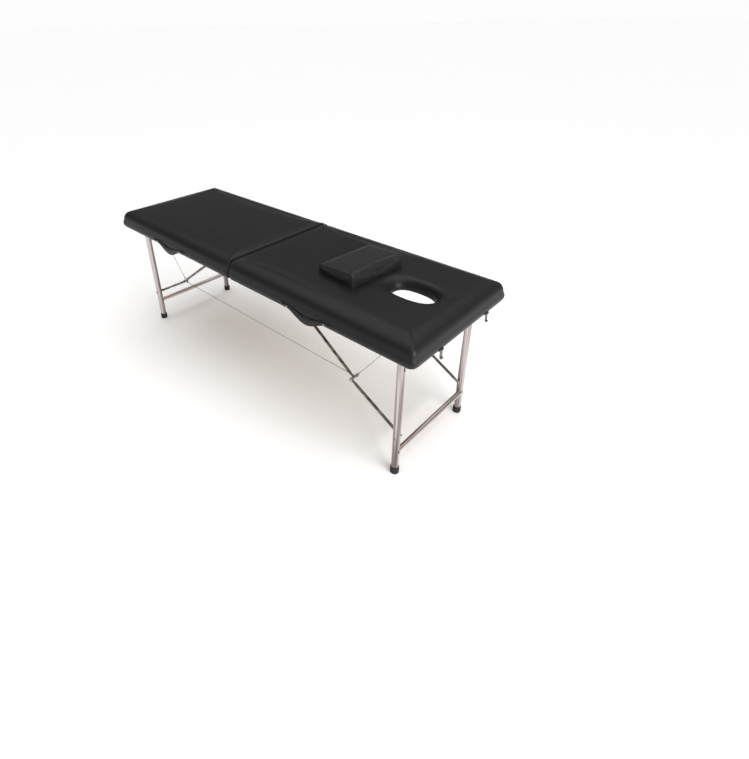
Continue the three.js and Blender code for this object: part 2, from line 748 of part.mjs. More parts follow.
const bed = new THREE.Group();
const footHalf = bedHalf('foot');
footHalf.rotation.z = Math.PI;
bed.add(
  bedHalf('head'),
  footHalf,
  at(hingeLink(), 0, 0, hingeHeight),
  pillow(),
);

export default bed;
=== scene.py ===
# Looks for a folding treatment bed: padded top, leg frames, braces, wire stays, straps and hasps.
import json
import math
import random
from contextlib import contextmanager

import bmesh
import bpy
import numpy as np
from mathutils import Matrix, Vector


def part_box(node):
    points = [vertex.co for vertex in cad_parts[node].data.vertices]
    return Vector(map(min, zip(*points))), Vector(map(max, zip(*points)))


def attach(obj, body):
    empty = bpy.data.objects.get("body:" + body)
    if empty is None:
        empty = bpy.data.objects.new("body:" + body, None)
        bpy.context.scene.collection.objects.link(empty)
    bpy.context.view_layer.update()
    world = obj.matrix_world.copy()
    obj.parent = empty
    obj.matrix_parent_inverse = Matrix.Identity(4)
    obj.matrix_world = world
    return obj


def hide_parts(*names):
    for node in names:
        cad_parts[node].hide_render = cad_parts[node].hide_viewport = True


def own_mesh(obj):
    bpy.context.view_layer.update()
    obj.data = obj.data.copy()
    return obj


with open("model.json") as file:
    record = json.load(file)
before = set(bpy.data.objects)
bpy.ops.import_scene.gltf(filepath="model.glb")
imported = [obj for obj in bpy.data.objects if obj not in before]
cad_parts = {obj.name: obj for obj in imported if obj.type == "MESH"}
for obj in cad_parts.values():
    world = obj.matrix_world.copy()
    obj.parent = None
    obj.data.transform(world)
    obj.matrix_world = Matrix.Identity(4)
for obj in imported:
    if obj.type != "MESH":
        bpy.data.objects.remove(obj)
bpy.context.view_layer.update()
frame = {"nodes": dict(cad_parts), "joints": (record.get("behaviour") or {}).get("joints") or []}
joints = {joint["name"]: joint for joint in frame["joints"]}
halves = {"head": 1, "foot": -1}  # which way each half runs along X
sides = ("near", "far")
mm = 0.001
print("frame loaded:", len(frame["nodes"]), "CAD nodes")

camera = {
    "place": (1.5796, -1.3430, 1.5190),
    "turn": (61.15, 1.02, 43.47),  # degrees about X, Y, Z
    "lens": 23.57,
    "sensor": 36,
    "shift": (0.0616, -0.1172),
}
studio = {
    "floorSize": 400,
    "floorColour": (0.92, 0.92, 0.92, 1),
    "sky": [  # brightness by the sine of the height above the horizon
        (0.0, 0.98),
        (0.06, 0.98),
        (0.12, 0.07),
        (0.42, 0.07),
        (0.60, 0.40),
        (0.80, 1.7),
        (1.0, 2.3),
    ],
    "skyPeak": 2.5,
}
softboxes = [  # name, place, aimed at, width, height, watts
    ("headEndLight", (3.2, -0.5, 1.3), (0.6, 0, 0.6), 2.0, 1.0, 70),
]


def addObject(name, data):
    made = bpy.data.objects.new(name, data)
    bpy.context.scene.collection.objects.link(made)
    return made


def addCamera():
    data = bpy.data.cameras.new("camera")
    data.sensor_width = camera["sensor"]
    data.lens = camera["lens"]
    data.shift_x, data.shift_y = camera["shift"]
    data.clip_end = 100
    holder = addObject("camera", data)
    holder.location = camera["place"]
    holder.rotation_euler = [math.radians(angle) for angle in camera["turn"]]
    bpy.context.scene.camera = holder


def addSoftbox(name, place, target, width, height, watts):
    data = bpy.data.lights.new(name, "AREA")
    data.shape = "RECTANGLE"
    data.size, data.size_y = width, height
    data.energy = watts
    holder = addObject(name, data)
    holder.location = place
    aim = Vector(target) - Vector(place)
    holder.rotation_euler = aim.to_track_quat("-Z", "Y").to_euler()


def lightSurroundings():  # dim at the height that the top mirrors
    world = bpy.data.worlds.new("studioWorld")
    world.use_nodes = True
    bpy.context.scene.world = world
    sky = NodeTree(world.node_tree)
    where = sky.node("ShaderNodeTexCoord", output="Generated")
    height = sky.node("ShaderNodeSeparateXYZ", None, {"Vector": where}, 2)
    peak = studio["skyPeak"]
    stops = [(position, grey(level / peak)) for position, level in studio["sky"]]
    level = sky.node("ShaderNodeValToRGB", {"stops": stops}, {"Fac": height})
    background = world.node_tree.nodes["Background"]
    sky.feed(background.inputs["Color"], level)
    background.inputs["Strength"].default_value = peak


class Wire:  # a shader socket; an expression on it adds Math nodes
    def __init__(self, finish, socket):
        self.finish = finish
        self.socket = socket

    def maths(self, operation, *values):
        return self.finish.node(
            "ShaderNodeMath", {"operation": operation}, dict(enumerate(values))
        )

    def __add__(self, other):
        return self.maths("ADD", self, other)

    def __radd__(self, other):
        return self.maths("ADD", other, self)

    def __sub__(self, other):
        return self.maths("SUBTRACT", self, other)

    def __rsub__(self, other):
        return self.maths("SUBTRACT", other, self)

    def __mul__(self, other):
        return self.maths("MULTIPLY", self, other)

    def __rmul__(self, other):
        return self.maths("MULTIPLY", other, self)

    def __pow__(self, other):
        return self.maths("POWER", self, other)


class NodeTree:
    def __init__(self, tree):
        self.tree = tree

    def feed(self, socket, value):
        if isinstance(value, Wire):
            self.tree.links.new(value.socket, socket)
        else:
            socket.default_value = value

    def node(self, kind, settings=None, inputs=None, output=0):
        made = self.tree.nodes.new(kind)
        for setting, value in (settings or {}).items():
            if setting == "stops":
                ramp = made.color_ramp
                for _ in value[2:]:
                    ramp.elements.new(0.5)
                for element, (position, colour) in zip(ramp.elements, value):
                    element.position = position
                    element.color = colour
            else:
                setattr(made, setting, value)
        for socket, value in (inputs or {}).items():
            self.feed(made.inputs[socket], value)
        return Wire(self, made.outputs[output])


class Finish(NodeTree):  # one material: a Principled shader and what feeds it
    def __init__(self, name, **constants):
        self.material = bpy.data.materials.new(name)
        self.material.use_nodes = True
        super().__init__(self.material.node_tree)
        self.tree.nodes.clear()
        self.shader = self.tree.nodes.new("ShaderNodeBsdfPrincipled")
        output = self.tree.nodes.new("ShaderNodeOutputMaterial")
        self.tree.links.new(self.shader.outputs[0], output.inputs["Surface"])
        for socket, value in constants.items():
            self.feed(self.shader.inputs[socket.replace("_", " ")], value)

    def place(self, stretch=(1, 1, 1)):
        where = self.node("ShaderNodeTexCoord", output="Object")
        return self.node("ShaderNodeMapping", None, {"Vector": where, "Scale": stretch})

    def noise(self, where, scale, detail=4.0, roughness=0.55):
        return self.node(
            "ShaderNodeTexNoise",
            None,
            {"Vector": where, "Scale": scale, "Detail": detail, "Roughness": roughness},
        )

    def cells(self, where, scale, feature="F1"):
        return self.node(
            "ShaderNodeTexVoronoi", {"feature": feature}, {"Vector": where, "Scale": scale}
        )

    def blend(self, factor, low, high):
        return self.node(
            "ShaderNodeMix", {"data_type": "RGBA"}, {0: factor, 6: low, 7: high}, output=2
        )

    def span(self, value, low, high):
        return self.node(
            "ShaderNodeMapRange", None, {"Value": value, "To Min": low, "To Max": high}
        )

    def bump(self, height, distance, strength=1.0):
        return self.node(
            "ShaderNodeBump",
            None,
            {"Height": height, "Distance": distance, "Strength": strength},
        )

    def done(self, colour, roughness, height=None, distance=0.0002, strength=1.0):
        self.feed(self.shader.inputs["Base Color"], colour)
        self.feed(self.shader.inputs["Roughness"], roughness)
        if height is not None:
            self.feed(self.shader.inputs["Normal"], self.bump(height, distance, strength))
        return self.material


def grey(level, warmth=0.0):
    return (level * (1 + warmth), level, level * (1 - warmth), 1)


leather = {
    "deep": grey(0.0075),
    "worn": grey(0.0125, 0.02),
    "grainSize": 1.3 * mm,
    "creaseSize": 24 * mm,
    "roughness": (0.34, 0.46),
    "specular": 0.20,
}


def leatherFinish(name, shade=1.0):
    finish = Finish(name, Specular_IOR_Level=leather["specular"])
    where = finish.place()
    cells = finish.cells(where, 1 / leather["grainSize"])
    pores = finish.noise(where, 2.6 / leather["grainSize"], 2)
    creases = finish.noise(where, 1 / leather["creaseSize"], 6, 0.62)
    cloud = finish.noise(where, 7, 3)
    low, high = (tuple(c * shade for c in leather[k][:3]) + (1,) for k in ("deep", "worn"))
    colour = finish.blend(cloud * 0.6 + creases * 0.4, low, high)
    roughness = finish.span(creases * 0.5 + cloud * 0.5, *leather["roughness"])
    height = cells * 0.5 + pores * 0.2 + creases * 2.2
    return finish.done(colour, roughness, height, 0.00028, 0.55)


def steelFinish(name, light, dark, roughness, along, brushed=0.25):
    finish = Finish(name, Metallic=1.0)
    fine, broad = [260.0] * 3, [62.0] * 3
    fine[along], broad[along] = 6.0, 1.6
    lines = finish.noise(finish.place(fine), 1.0, 3)
    # broad bands along the tube are painted reflections: light and dark streaks in the base colour
    # that stand in for the surroundings the metal mirrors
    paintedReflectionBands = finish.noise(finish.place(broad), 1.0, 2, 0.4)
    specks = finish.noise(finish.place(), 420, 2)
    paintedReflectionBands = finish.node(
        "ShaderNodeMapRange",
        {"interpolation_type": "SMOOTHSTEP"},
        {"Value": paintedReflectionBands, "From Min": 0.42, "From Max": 0.66},
    )
    # base colour runs between the dark and light ends of the painted reflection bands
    colour = finish.blend(paintedReflectionBands * 0.85 + lines * 0.15, dark, light)
    dullness = finish.span(lines, roughness - 0.05, roughness + 0.10)
    return finish.done(colour, dullness, lines * brushed + specks * 0.15, 0.00006, 0.5)


def zincFinish(name, light, dark, roughness):
    finish = Finish(name, Metallic=1.0)
    where = finish.place()
    spangle = finish.cells(where, 260)
    smears = finish.noise(where, 60, 4)
    colour = finish.blend(smears * 0.6 + spangle * 0.4, dark, light)
    return finish.done(
        colour, finish.span(smears, roughness - 0.08, roughness + 0.14), spangle, 0.00003, 0.4
    )


def rubberFinish():
    finish = Finish("rubberFinish", Specular_IOR_Level=0.3)
    where = finish.place()
    dust = finish.noise(where, 90, 5)
    grain = finish.noise(where, 1500, 2)
    colour = finish.blend(dust, grey(0.012), grey(0.030, 0.03))
    return finish.done(colour, finish.span(dust, 0.62, 0.85), grain + dust * 0.6, 0.0001, 0.6)


def woodFinish(name, pale, dark, ringSize, roughness=0.6):
    finish = Finish(name, Specular_IOR_Level=0.3)
    where = finish.place((0.09, 1, 1))
    warp = finish.noise(where, 14, 4)
    figure = finish.noise(where, 1 / ringSize, 5, 0.65)
    fibres = finish.noise(finish.place((0.02, 1, 1)), 900, 3)
    colour = finish.blend(figure * 0.65 + fibres * 0.2 + warp * 0.15, dark, pale)
    return finish.done(
        colour, finish.span(figure, roughness, roughness + 0.15), fibres + figure, 0.0002, 0.5
    )


def foamFinish():
    finish = Finish("foamFinish", Specular_IOR_Level=0.1)
    where = finish.place()
    pores = finish.cells(where, 700)
    cloud = finish.noise(where, 12, 3)
    colour = finish.blend(cloud, (0.50, 0.45, 0.29, 1), (0.66, 0.61, 0.44, 1))
    return finish.done(colour, finish.span(cloud, 0.88, 0.98), pores, 0.0006, 0.9)


def enamelFinish():
    finish = Finish("enamelFinish", Specular_IOR_Level=0.45)
    where = finish.place()
    peel = finish.noise(where, 700, 2)
    scuffs = finish.noise(where, 60, 5)
    colour = finish.blend(scuffs, grey(0.011), grey(0.024))
    return finish.done(colour, finish.span(scuffs, 0.28, 0.5), peel, 0.00005, 0.5)


def threadFinish():
    finish = Finish("threadFinish", Specular_IOR_Level=0.3)
    where = finish.place()
    twist = finish.noise(where, 1800, 2)
    colour = finish.blend(twist, grey(0.016), grey(0.05))
    return finish.done(colour, finish.span(twist, 0.55, 0.8), twist, 0.0001, 0.6)


def floorFinish():
    finish = Finish("floorFinish", Specular_IOR_Level=0.1)
    cloud = finish.noise(finish.place(), 0.6, 2)
    colour = finish.blend(cloud, grey(0.91), studio["floorColour"])
    return finish.done(colour, finish.span(cloud, 0.8, 0.9))


# painted reflection colours of the upright tubes: the light and dark ends of the streaks painted
# into the chrome's base colour
paintedReflectionBright = (0.62, 0.56, 0.56, 1)
paintedReflectionDark = (0.15, 0.115, 0.10, 1)
finishes = {
    "cover": leatherFinish("coverLeather"),
    "pillow": leatherFinish("pillowLeather", 1.7),
    "strap": leatherFinish("strapLeather", 1.1),
    "foam": foamFinish(),
    "board": woodFinish("boardPlywood", (0.52, 0.36, 0.19, 1), (0.36, 0.22, 0.10, 1), 9 * mm),
    "rim": woodFinish("rimTimber", (0.50, 0.33, 0.17, 1), (0.30, 0.17, 0.075, 1), 5 * mm),
    "tubeUp": steelFinish("uprightTube", paintedReflectionBright, paintedReflectionDark, 0.20, 2),
    # cross tube colours are the light and dark ends of painted reflection streaks, set lighter for
    # the light grey reflection the bars show
    "tubeAcross": steelFinish("crossTube", (0.80, 0.75, 0.75, 1), (0.46, 0.40, 0.38, 1), 0.22, 1),
    "weld": zincFinish("weldBead", (0.42, 0.37, 0.35, 1), (0.20, 0.17, 0.16, 1), 0.38),
    "brace": steelFinish(
        "braceTube", (0.30, 0.262, 0.255, 1), (0.10, 0.082, 0.078, 1), 0.28, 0
    ),
    "hasp": zincFinish("haspMetal", (0.20, 0.19, 0.19, 1), (0.05, 0.05, 0.05, 1), 0.26),
    "plate": zincFinish("zincPlate", (0.42, 0.41, 0.41, 1), (0.22, 0.21, 0.21, 1), 0.34),
    "wire": steelFinish("wireRope", (0.34, 0.34, 0.35, 1), (0.20, 0.20, 0.21, 1), 0.34, 0),
    "enamel": enamelFinish(),
    "rubber": rubberFinish(),
    "thread": threadFinish(),
}
print("finishes made:", len(finishes))

@contextmanager
def editing(mesh):  # a bmesh of the mesh, written back at the end
    edit = bmesh.new()
    edit.from_mesh(mesh)
    yield edit
    edit.to_mesh(mesh)
    edit.free()


def relax(edit, points, passes):
    for _ in range(passes):
        bmesh.ops.smooth_vert(
            edit, verts=points, factor=0.5, use_axis_x=True, use_axis_y=True, use_axis_z=True
        )


class Shape:  # points and faces of one piece, each face marked with its finish
    def __init__(self):
        self.points = []
        self.faces = []
        self.marks = []

    def add(self, points, faces, mark=0, place=None):
        start = len(self.points)
        turned = (Vector(p) if place is None else place @ Vector(p) for p in points)
        self.points.extend(turned)
        self.faces.extend([start + i for i in face] for face in faces)
        self.marks.extend([mark] * len(faces))
        return self

    def rings(self, rings, mark=0, place=None, caps=True, joined=False):
        count = len(rings[0])
        pairs = len(rings) if joined else len(rings) - 1
        faces = []
        for k in range(pairs):
            here, there = k * count, (k + 1) % len(rings) * count
            for i in range(count):
                j = (i + 1) % count
                faces.append((here + i, here + j, there + j, there + i))
        if caps and not joined:
            last = (len(rings) - 1) * count
            faces.append(tuple(range(count))[::-1])
            faces.append(tuple(range(last, last + count)))
        return self.add([p for ring in rings for p in ring], faces, mark, place)

    def lathe(self, profile, place, turns=32, mark=0, joined=False):
        rings = [
            [(r * math.cos(a), r * math.sin(a), z) for a in circle(turns)] for r, z in profile
        ]
        return self.rings(rings, mark, place, not joined, joined)

    def rod(self, start, end, radius, turns=24, mark=0, chamfer=0.4 * mm):
        place, length = alongAxis(start, end)
        inner = radius - chamfer
        profile = [(inner, 0), (radius, chamfer), (radius, length - chamfer), (inner, length)]
        return self.lathe(profile, place, turns, mark)

    def dome(self, start, end, radius, turns=24, mark=0, steps=5):
        place, length = alongAxis(start, end)  # the head rises from start to end
        profile = [(radius, 0)]
        for i in range(steps + 1):
            a = math.pi / 2 * i / steps
            rise = length * (0.35 + 0.65 * math.sin(a))
            profile.append((radius * math.cos(a) + 0.02 * mm, rise))
        return self.lathe(profile, place, turns, mark)

    def hexHead(self, start, end, radius, mark=0):
        place, length = alongAxis(start, end)
        profile = [(radius, 0), (radius, length * 0.8), (radius * 0.86, length)]
        return self.lathe(profile, place, 6, mark)

    def screw(self, start, outward, radius=3.2 * mm, mark=0):  # with a cross recess
        out = Vector(outward).normalized()
        self.dome(start, Vector(start) + out * 1.5 * mm, radius, 18, mark)
        place, _ = alongAxis(start, Vector(start) + out)
        top = 1.52 * mm
        for turn in (0, math.pi / 2):
            cross = Matrix.Rotation(turn, 4, "Z")
            reach, half = radius * 0.52, 0.3 * mm
            corners = [(-reach, -half), (reach, -half), (reach, half), (-reach, half)]
            rings = [[(x, y, z) for x, y in corners] for z in (top - 0.5 * mm, top)]
            self.rings(rings, mark + 1, place @ cross)
        return self

    def block(self, low, high, mark=0, place=None):
        (x0, y0, z0), (x1, y1, z1) = low, high
        corners = [(x0, y0), (x1, y0), (x1, y1), (x0, y1)]
        return self.rings([[(x, y, z) for x, y in corners] for z in (z0, z1)], mark, place)

    def cadNode(self, name, mark=0):
        mesh = frame["nodes"][name].data
        faces = [tuple(polygon.vertices) for polygon in mesh.polygons]
        return self.add([v.co for v in mesh.vertices], faces, mark)

    def build(self, name, *finishNames, bevel=0.0, sharp=38):
        mesh = bpy.data.meshes.new(name)
        mesh.from_pydata([tuple(p) for p in self.points], [], self.faces)
        for finishName in finishNames:
            mesh.materials.append(finishes[finishName])
        mesh.polygons.foreach_set("material_index", self.marks)
        with editing(mesh) as edit:
            bmesh.ops.remove_doubles(edit, verts=edit.verts, dist=0.005 * mm)
            if bevel:
                bmesh.ops.dissolve_limit(
                    edit, angle_limit=math.radians(1.5), verts=edit.verts, edges=edit.edges
                )
            bmesh.ops.recalc_face_normals(edit, faces=edit.faces)
        piece = addObject(name, mesh)
        if bevel:
            soften = piece.modifiers.new("soften", "BEVEL")
            soften.width = bevel
            soften.segments = 2
            soften.limit_method = "ANGLE"
            soften.angle_limit = math.radians(40)
            applyModifiers(piece)
        smoothShade(piece, sharp)
        return piece


def alongAxis(start, end):  # a placement with local Z from start to end, and its length
    start, end = Vector(start), Vector(end)
    span = end - start
    turn = Vector((0, 0, 1)).rotation_difference(span.normalized())
    return Matrix.Translation(start) @ turn.to_matrix().to_4x4(), span.length


def applyModifiers(piece):
    bpy.context.view_layer.update()
    graph = bpy.context.evaluated_depsgraph_get()
    made = bpy.data.meshes.new_from_object(piece.evaluated_get(graph))
    piece.modifiers.clear()
    piece.data = made


def smoothShade(piece, sharp=38):
    mesh = piece.data
    mesh.polygons.foreach_set("use_smooth", [True] * len(mesh.polygons))
    mesh.set_sharp_from_angle(angle=math.radians(sharp))


def settle(piece, body, slot, *replaced):
    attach(piece, body)
    if replaced:
        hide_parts(*replaced)
    return piece


def jointPlace(name):
    return Vector(joints[name]["pos_m"])


def acrossFrom(point):  # gives the point at any depth on the line along Y
    return lambda depth: Vector((point.x, depth, point.z))


def circle(count):  # angles once round
    return [2 * math.pi * i / count for i in range(count)]


def spread(count, gather):  # positions from -1 to 1 that crowd towards both ends
    even = np.linspace(-1, 1, count + 1)
    return even + gather * np.sin(math.pi * even) / math.pi


pad = {
    "edge": (54 * mm, 44 * mm),  # reach inwards and down of the rounded outer edge
    "fold": (24 * mm, 22 * mm),
    "cornerRadius": 24 * mm,
    "foldCorner": 14 * mm,
    "cornerCuts": (20 * mm, 12 * mm),  # of each side, at outer and fold corners
    "crown": 2.2 * mm,
    "cells": (108, 72),
    "gather": 0.55,
    "sideBulge": 5.5 * mm,
    "thickness": 1.1 * mm,
    "pleats": 7,
    "pleatDepth": 1.5 * mm,
    "held": 42 * mm,  # height of the stapled part that the cloth step holds
    "pressure": 2.5,
    "slack": 0.004,
    "puff": 3.2 * mm,
    "softening": 4,  # smoothing passes
    "foamSoftening": 8,
    "foamGap": 1.4 * mm,
    "hem": [(0.8, 0.2), (3.2, 1.0), (8.0, 1.25), (14.0, 1.25)],  # inwards and down, mm
    "fill": 0.9,
}
faceHole = {
    "centre": 710 * mm,
    "ratio": 1.6,  # length to width
    "fullness": 2.5,  # 2 is an ellipse
    "patch": (134 * mm, 94 * mm),
    "profile": [
        (80, 0.2),
        (75.5, 0.5),
        (71.5, -0.5),
        (68, -2.8),
        (65, -6.6),
        (62, -11.5),
        (59, -17.5),
        (56.4, -24),
        (54.6, -31),
        (54.1, -38),
        (54.3, -42.6),
        (56.5, -44.2),
        (64, -44.4),
    ],  # half width and height from the top, millimetres
}


def ringPlace(side, share, cuts, low, high, radii):  # a point on a rounded rectangle
    (x0, y0), (x1, y1) = low, high
    corners = [(x0, y0, 1, 1), (x1, y0, -1, 1), (x1, y1, -1, -1), (x0, y1, 1, -1)]
    first, second = side, (side + 1) % 4
    start, end = cuts
    if share < start or share > 1 - end:
        corner = first if share < start else second
        turn = 45 * (share / start) if share < start else 45 * ((1 - share) / end)
        angle = side * 90 - 90 - (45 - turn if share < start else turn - 45)
        x, y, sx, sy = corners[corner]
        r = radii[corner]
        bow = math.radians(angle)
        return x + sx * r + r * math.cos(bow), y + sy * r + r * math.sin(bow)
    along = (share - start) / (1 - start - end)
    xa, ya, sxa, sya = corners[first]
    xb, yb, sxb, syb = corners[second]
    ra, rb = radii[first], radii[second]
    if side % 2 == 0:
        return xa + sxa * ra + along * (xb + sxb * rb - xa - sxa * ra), ya
    return xa, ya + sya * ra + along * (yb + syb * rb - ya - sya * ra)


def padSkin(half):  # the cover's outer surface on the +X side: points, quads, held points
    low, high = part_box(f"{half}_cover")
    x0, x1 = sorted((abs(low.x), abs(high.x)))
    y1, top, bottom = high.y, high.z, low.z
    nx, ny = pad["cells"]
    (edge, edgeDrop), (fold, foldDrop) = pad["edge"], pad["fold"]
    steps = 9
    levels = [(math.pi / 2 * k / steps, 0.0) for k in range(steps + 1)]
    levels += [(math.pi / 2, share) for share in (0.16, 0.34, 0.52, 0.70, 0.86, 0.96)]

    def ringAt(level, side, share, weight, pleat):
        phi, down = level
        drop = edgeDrop + (foldDrop - edgeDrop) * weight
        z = top - drop * (1 - math.cos(phi))
        z += down * (bottom - z)
        bulge = pad["sideBulge"] * math.sin(math.pi * down**1.25) * (1 - weight)
        tuck = pad["pleatDepth"] * pleat * max(0.0, down * 1.15 - 0.1)
        inFold, inEdge = fold * (1 - math.sin(phi)), edge * (1 - math.sin(phi))
        shift = tuck - bulge
        lowCorner = (x0 + inFold, -y1 + inEdge + shift)
        highCorner = (x1 - inEdge - shift, y1 - inEdge - shift)
        outer = max(pad["cornerRadius"] - inEdge, 4 * mm)
        inner = max(pad["foldCorner"] - inEdge, 3 * mm)
        radii = (inner, outer, outer, inner)
        return (*ringPlace(side, share, cutsOf[side], lowCorner, highCorner, radii), z)

    lengths = (x1 - x0 - edge - fold, 2 * (y1 - edge))
    outer, inner = pad["cornerCuts"]
    cutsOf = [
        (inner / lengths[0], outer / lengths[0]),
        (outer / lengths[1], outer / lengths[1]),
        (outer / lengths[0], inner / lengths[0]),
        (inner / lengths[1], inner / lengths[1]),
    ]
    across, along = spread(ny, pad["gather"]), spread(nx, pad["gather"])
    loop = [(0, i, 0) for i in range(nx)] + [(1, nx, j) for j in range(ny)]
    loop += [(2, nx - i, ny) for i in range(nx)] + [(3, 0, ny - j) for j in range(ny)]

    def loopFacts(side, i, j):
        share = ((along[i] if side % 2 == 0 else across[j]) + 1) / 2
        share = share if side < 2 else 1 - share
        start, end = cutsOf[side]
        weight = 1.0 if side == 3 else 0.0
        if side == 0 and share < start:
            weight = 0.5 - 0.5 * share / start
        elif side == 2 and share > 1 - end:
            weight = 0.5 - 0.5 * (1 - share) / end
        elif side == 3 and share < start:
            weight = 0.5 + 0.5 * share / start
        elif side == 3 and share > 1 - end:
            weight = 0.5 + 0.5 * (1 - share) / end
        turn = 0.0
        if side in (0, 1) and share > 1 - end or side in (1, 2) and share < start:
            turn = (1 - (share / start if share < start else (1 - share) / end)) / 2
            turn = 0.5 - turn if share > 1 - end else 0.5 + turn
            turn = 1 - turn if share < start else turn
        pleat = math.sin(math.pi * pad["pleats"] * turn) ** 2 * math.sin(math.pi * turn)
        return share, weight, abs(pleat)

    facts = [(side, *loopFacts(side, i, j)) for side, i, j in loop]
    rings = [
        [ringAt(level, side, share, weight, pleat) for side, share, weight, pleat in facts]
        for level in levels
    ]
    cornerRadii = (pad["foldCorner"], *[pad["cornerRadius"]] * 2, pad["foldCorner"])
    for reach, dip in pad["hem"]:
        ring = []
        for side, share, weight, _ in facts:
            inset = reach * mm * (1 - 0.95 * weight)
            lowCorner = (x0 + 0.05 * reach * mm, -y1 + inset)
            highCorner = (x1 - inset, y1 - inset)
            radii = [max(r - inset, 2.5 * mm) for r in cornerRadii]
            x, y = ringPlace(side, share, cutsOf[side], lowCorner, highCorner, radii)
            ring.append((x, y, bottom - dip * mm * (1 - 0.9 * weight)))
        rings.append(ring)

    grid = np.zeros((nx + 1, ny + 1, 2))
    grid[:, :, 0] = ((x0 + fold + x1 - edge) / 2 + along * (x1 - edge - x0 - fold) / 2)[:, None]
    grid[:, :, 1] = (across * (y1 - edge))[None, :]
    for (_, i, j), point in zip(loop, rings[0]):
        grid[i, j] = point[:2]
    for _ in range(14):
        grid[1:-1, 1:-1] = (
            grid[2:, 1:-1] + grid[:-2, 1:-1] + grid[1:-1, 2:] + grid[1:-1, :-2]
        ) / 4

    def crownAt(x, y):
        u = (2 * x - x0 - x1) / (x1 - x0)
        v = y / y1
        return top + pad["crown"] * max(0.0, 1 - u**4) * max(0.0, 1 - v**4) - 0.9 * mm

    points, number, faces = [], {}, []
    hole = half == "head"
    halfLong, halfWide = faceHole["patch"]
    inside = (
        (abs(grid[:, :, 0] - faceHole["centre"]) < halfLong) & (abs(grid[:, :, 1]) < halfWide)
        if hole
        else np.zeros((nx + 1, ny + 1), bool)
    )
    spots = np.argwhere(inside)
    i0, j0, i1, j1 = (*spots.min(0), *spots.max(0)) if hole else (0, 0, 0, 0)
    edgeSpots = {(i, j) for _, i, j in loop}
    for i in range(nx + 1):
        for j in range(ny + 1):
            if hole and i0 < i < i1 and j0 < j < j1:
                continue
            x, y = grid[i, j]
            number[i, j] = len(points)
            points.append((x, y, top if (i, j) in edgeSpots else crownAt(x, y)))
    for i in range(nx):
        for j in range(ny):
            if hole and i0 <= i < i1 and j0 <= j < j1:
                continue
            faces.append((number[i, j], number[i + 1, j], number[i + 1, j + 1], number[i, j + 1]))

    def skirt(start, loops):
        before = start
        for ring in loops:
            here = list(range(len(points), len(points) + len(ring)))
            points.extend(ring)
            for k in range(len(ring)):
                n = (k + 1) % len(ring)
                faces.append((before[k], here[k], here[n], before[n]))
            before = here
        return before

    skirt([number[i, j] for _, i, j in loop], rings[1:])
    if hole:
        around = [(i, j0) for i in range(i0, i1)] + [(i1, j) for j in range(j0, j1)]
        around += [(i1 - i, j1) for i in range(i1 - i0)] + [(i0, j1 - j) for j in range(j1 - j0)]
        start = [number[spot] for spot in around]
        centre, ratio = faceHole["centre"], faceHole["ratio"]
        full = faceHole["fullness"]

        def onHole(angle, r):
            c, d = math.cos(angle), math.sin(angle)
            r *= (abs(c) ** full + abs(d) ** full) ** (-1 / full)
            return centre + ratio * r * c, r * d

        turns = [
            math.atan2(points[k][1], (points[k][0] - centre) / ratio * 1.12) for k in start
        ]
        loops = []
        wide = faceHole["profile"][0][0] * mm
        for share in (0.25, 0.5, 0.75):
            ring = []
            for k, a in zip(start, turns):
                ex, ey = onHole(a, wide)
                x = points[k][0] + share * (ex - points[k][0])
                y = points[k][1] + share * (ey - points[k][1])
                ring.append((x, y, crownAt(x, y)))
            loops.append(ring)
        for r, drop in faceHole["profile"]:
            ring = []
            for a in turns:
                crease = 0.5 * mm * math.sin(23 * a) * math.exp(-(((drop + 6) / 9) ** 2))
                crease *= max(0.0, -math.cos(a)) ** 2 * 2.2
                x, y = onHole(a, r * mm)
                base = crownAt(x, y) if drop > -12 else top
                ring.append((x, y, base + drop * mm + crease))
            loops.append(ring)
        skirt(start, loops)
    co = np.array(points)
    held = co[:, 2] < bottom + pad["held"]
    return co, faces, held


def inflate(piece, held, pressure, cap, slack, frames=20):  # cloth physics, within the cap
    rest = np.array([v.co for v in piece.data.vertices])
    outward = np.array([v.normal for v in piece.data.vertices])
    group = piece.vertex_groups.new(name="held")
    group.add([int(i) for i in np.flatnonzero(held)], 1.0, "REPLACE")
    cloth = piece.modifiers.new("puff", "CLOTH")
    options = cloth.settings
    options.vertex_group_mass = "held"
    options.quality = 4
    options.mass = 0.35
    options.tension_stiffness = 18
    options.compression_stiffness = 12
    options.shear_stiffness = 6
    options.bending_stiffness = 1.2
    options.use_pressure = True
    options.uniform_pressure_force = pressure
    options.shrink_min = -slack
    options.effector_weights.gravity = 0
    cloth.collision_settings.use_collision = False
    cloth.point_cache.frame_end = frames
    scene = bpy.context.scene
    for number in range(1, frames + 1):
        scene.frame_set(number)
    graph = bpy.context.evaluated_depsgraph_get()
    posed = piece.evaluated_get(graph).to_mesh()
    moved = np.array([v.co for v in posed.vertices])
    piece.modifiers.clear()
    piece.vertex_groups.clear()
    scene.frame_set(1)
    step = moved - rest
    inward = np.minimum((step * outward).sum(axis=1, keepdims=True), 0)
    step -= outward * inward * 0.9  # hardly sinks below the drawn shape
    length = np.linalg.norm(step, axis=1, keepdims=True)
    limited = np.tanh(length / cap) * cap
    final = rest + step * np.where(length > 1e-9, limited / np.maximum(length, 1e-9), 0)
    piece.data.vertices.foreach_set("co", final.astype(np.float32).ravel())
    piece.data.update()
    print(piece.name, "puffed", round(float(length.max()) / mm, 1), "mm, kept within", cap / mm)


def rawPiece(name, points, faces, material):
    mesh = bpy.data.meshes.new(name)
    mesh.from_pydata([tuple(map(float, p)) for p in points], [], faces)
    mesh.materials.append(material)
    with editing(mesh) as edit:
        bmesh.ops.recalc_face_normals(edit, faces=edit.faces)
    return addObject(name, mesh)


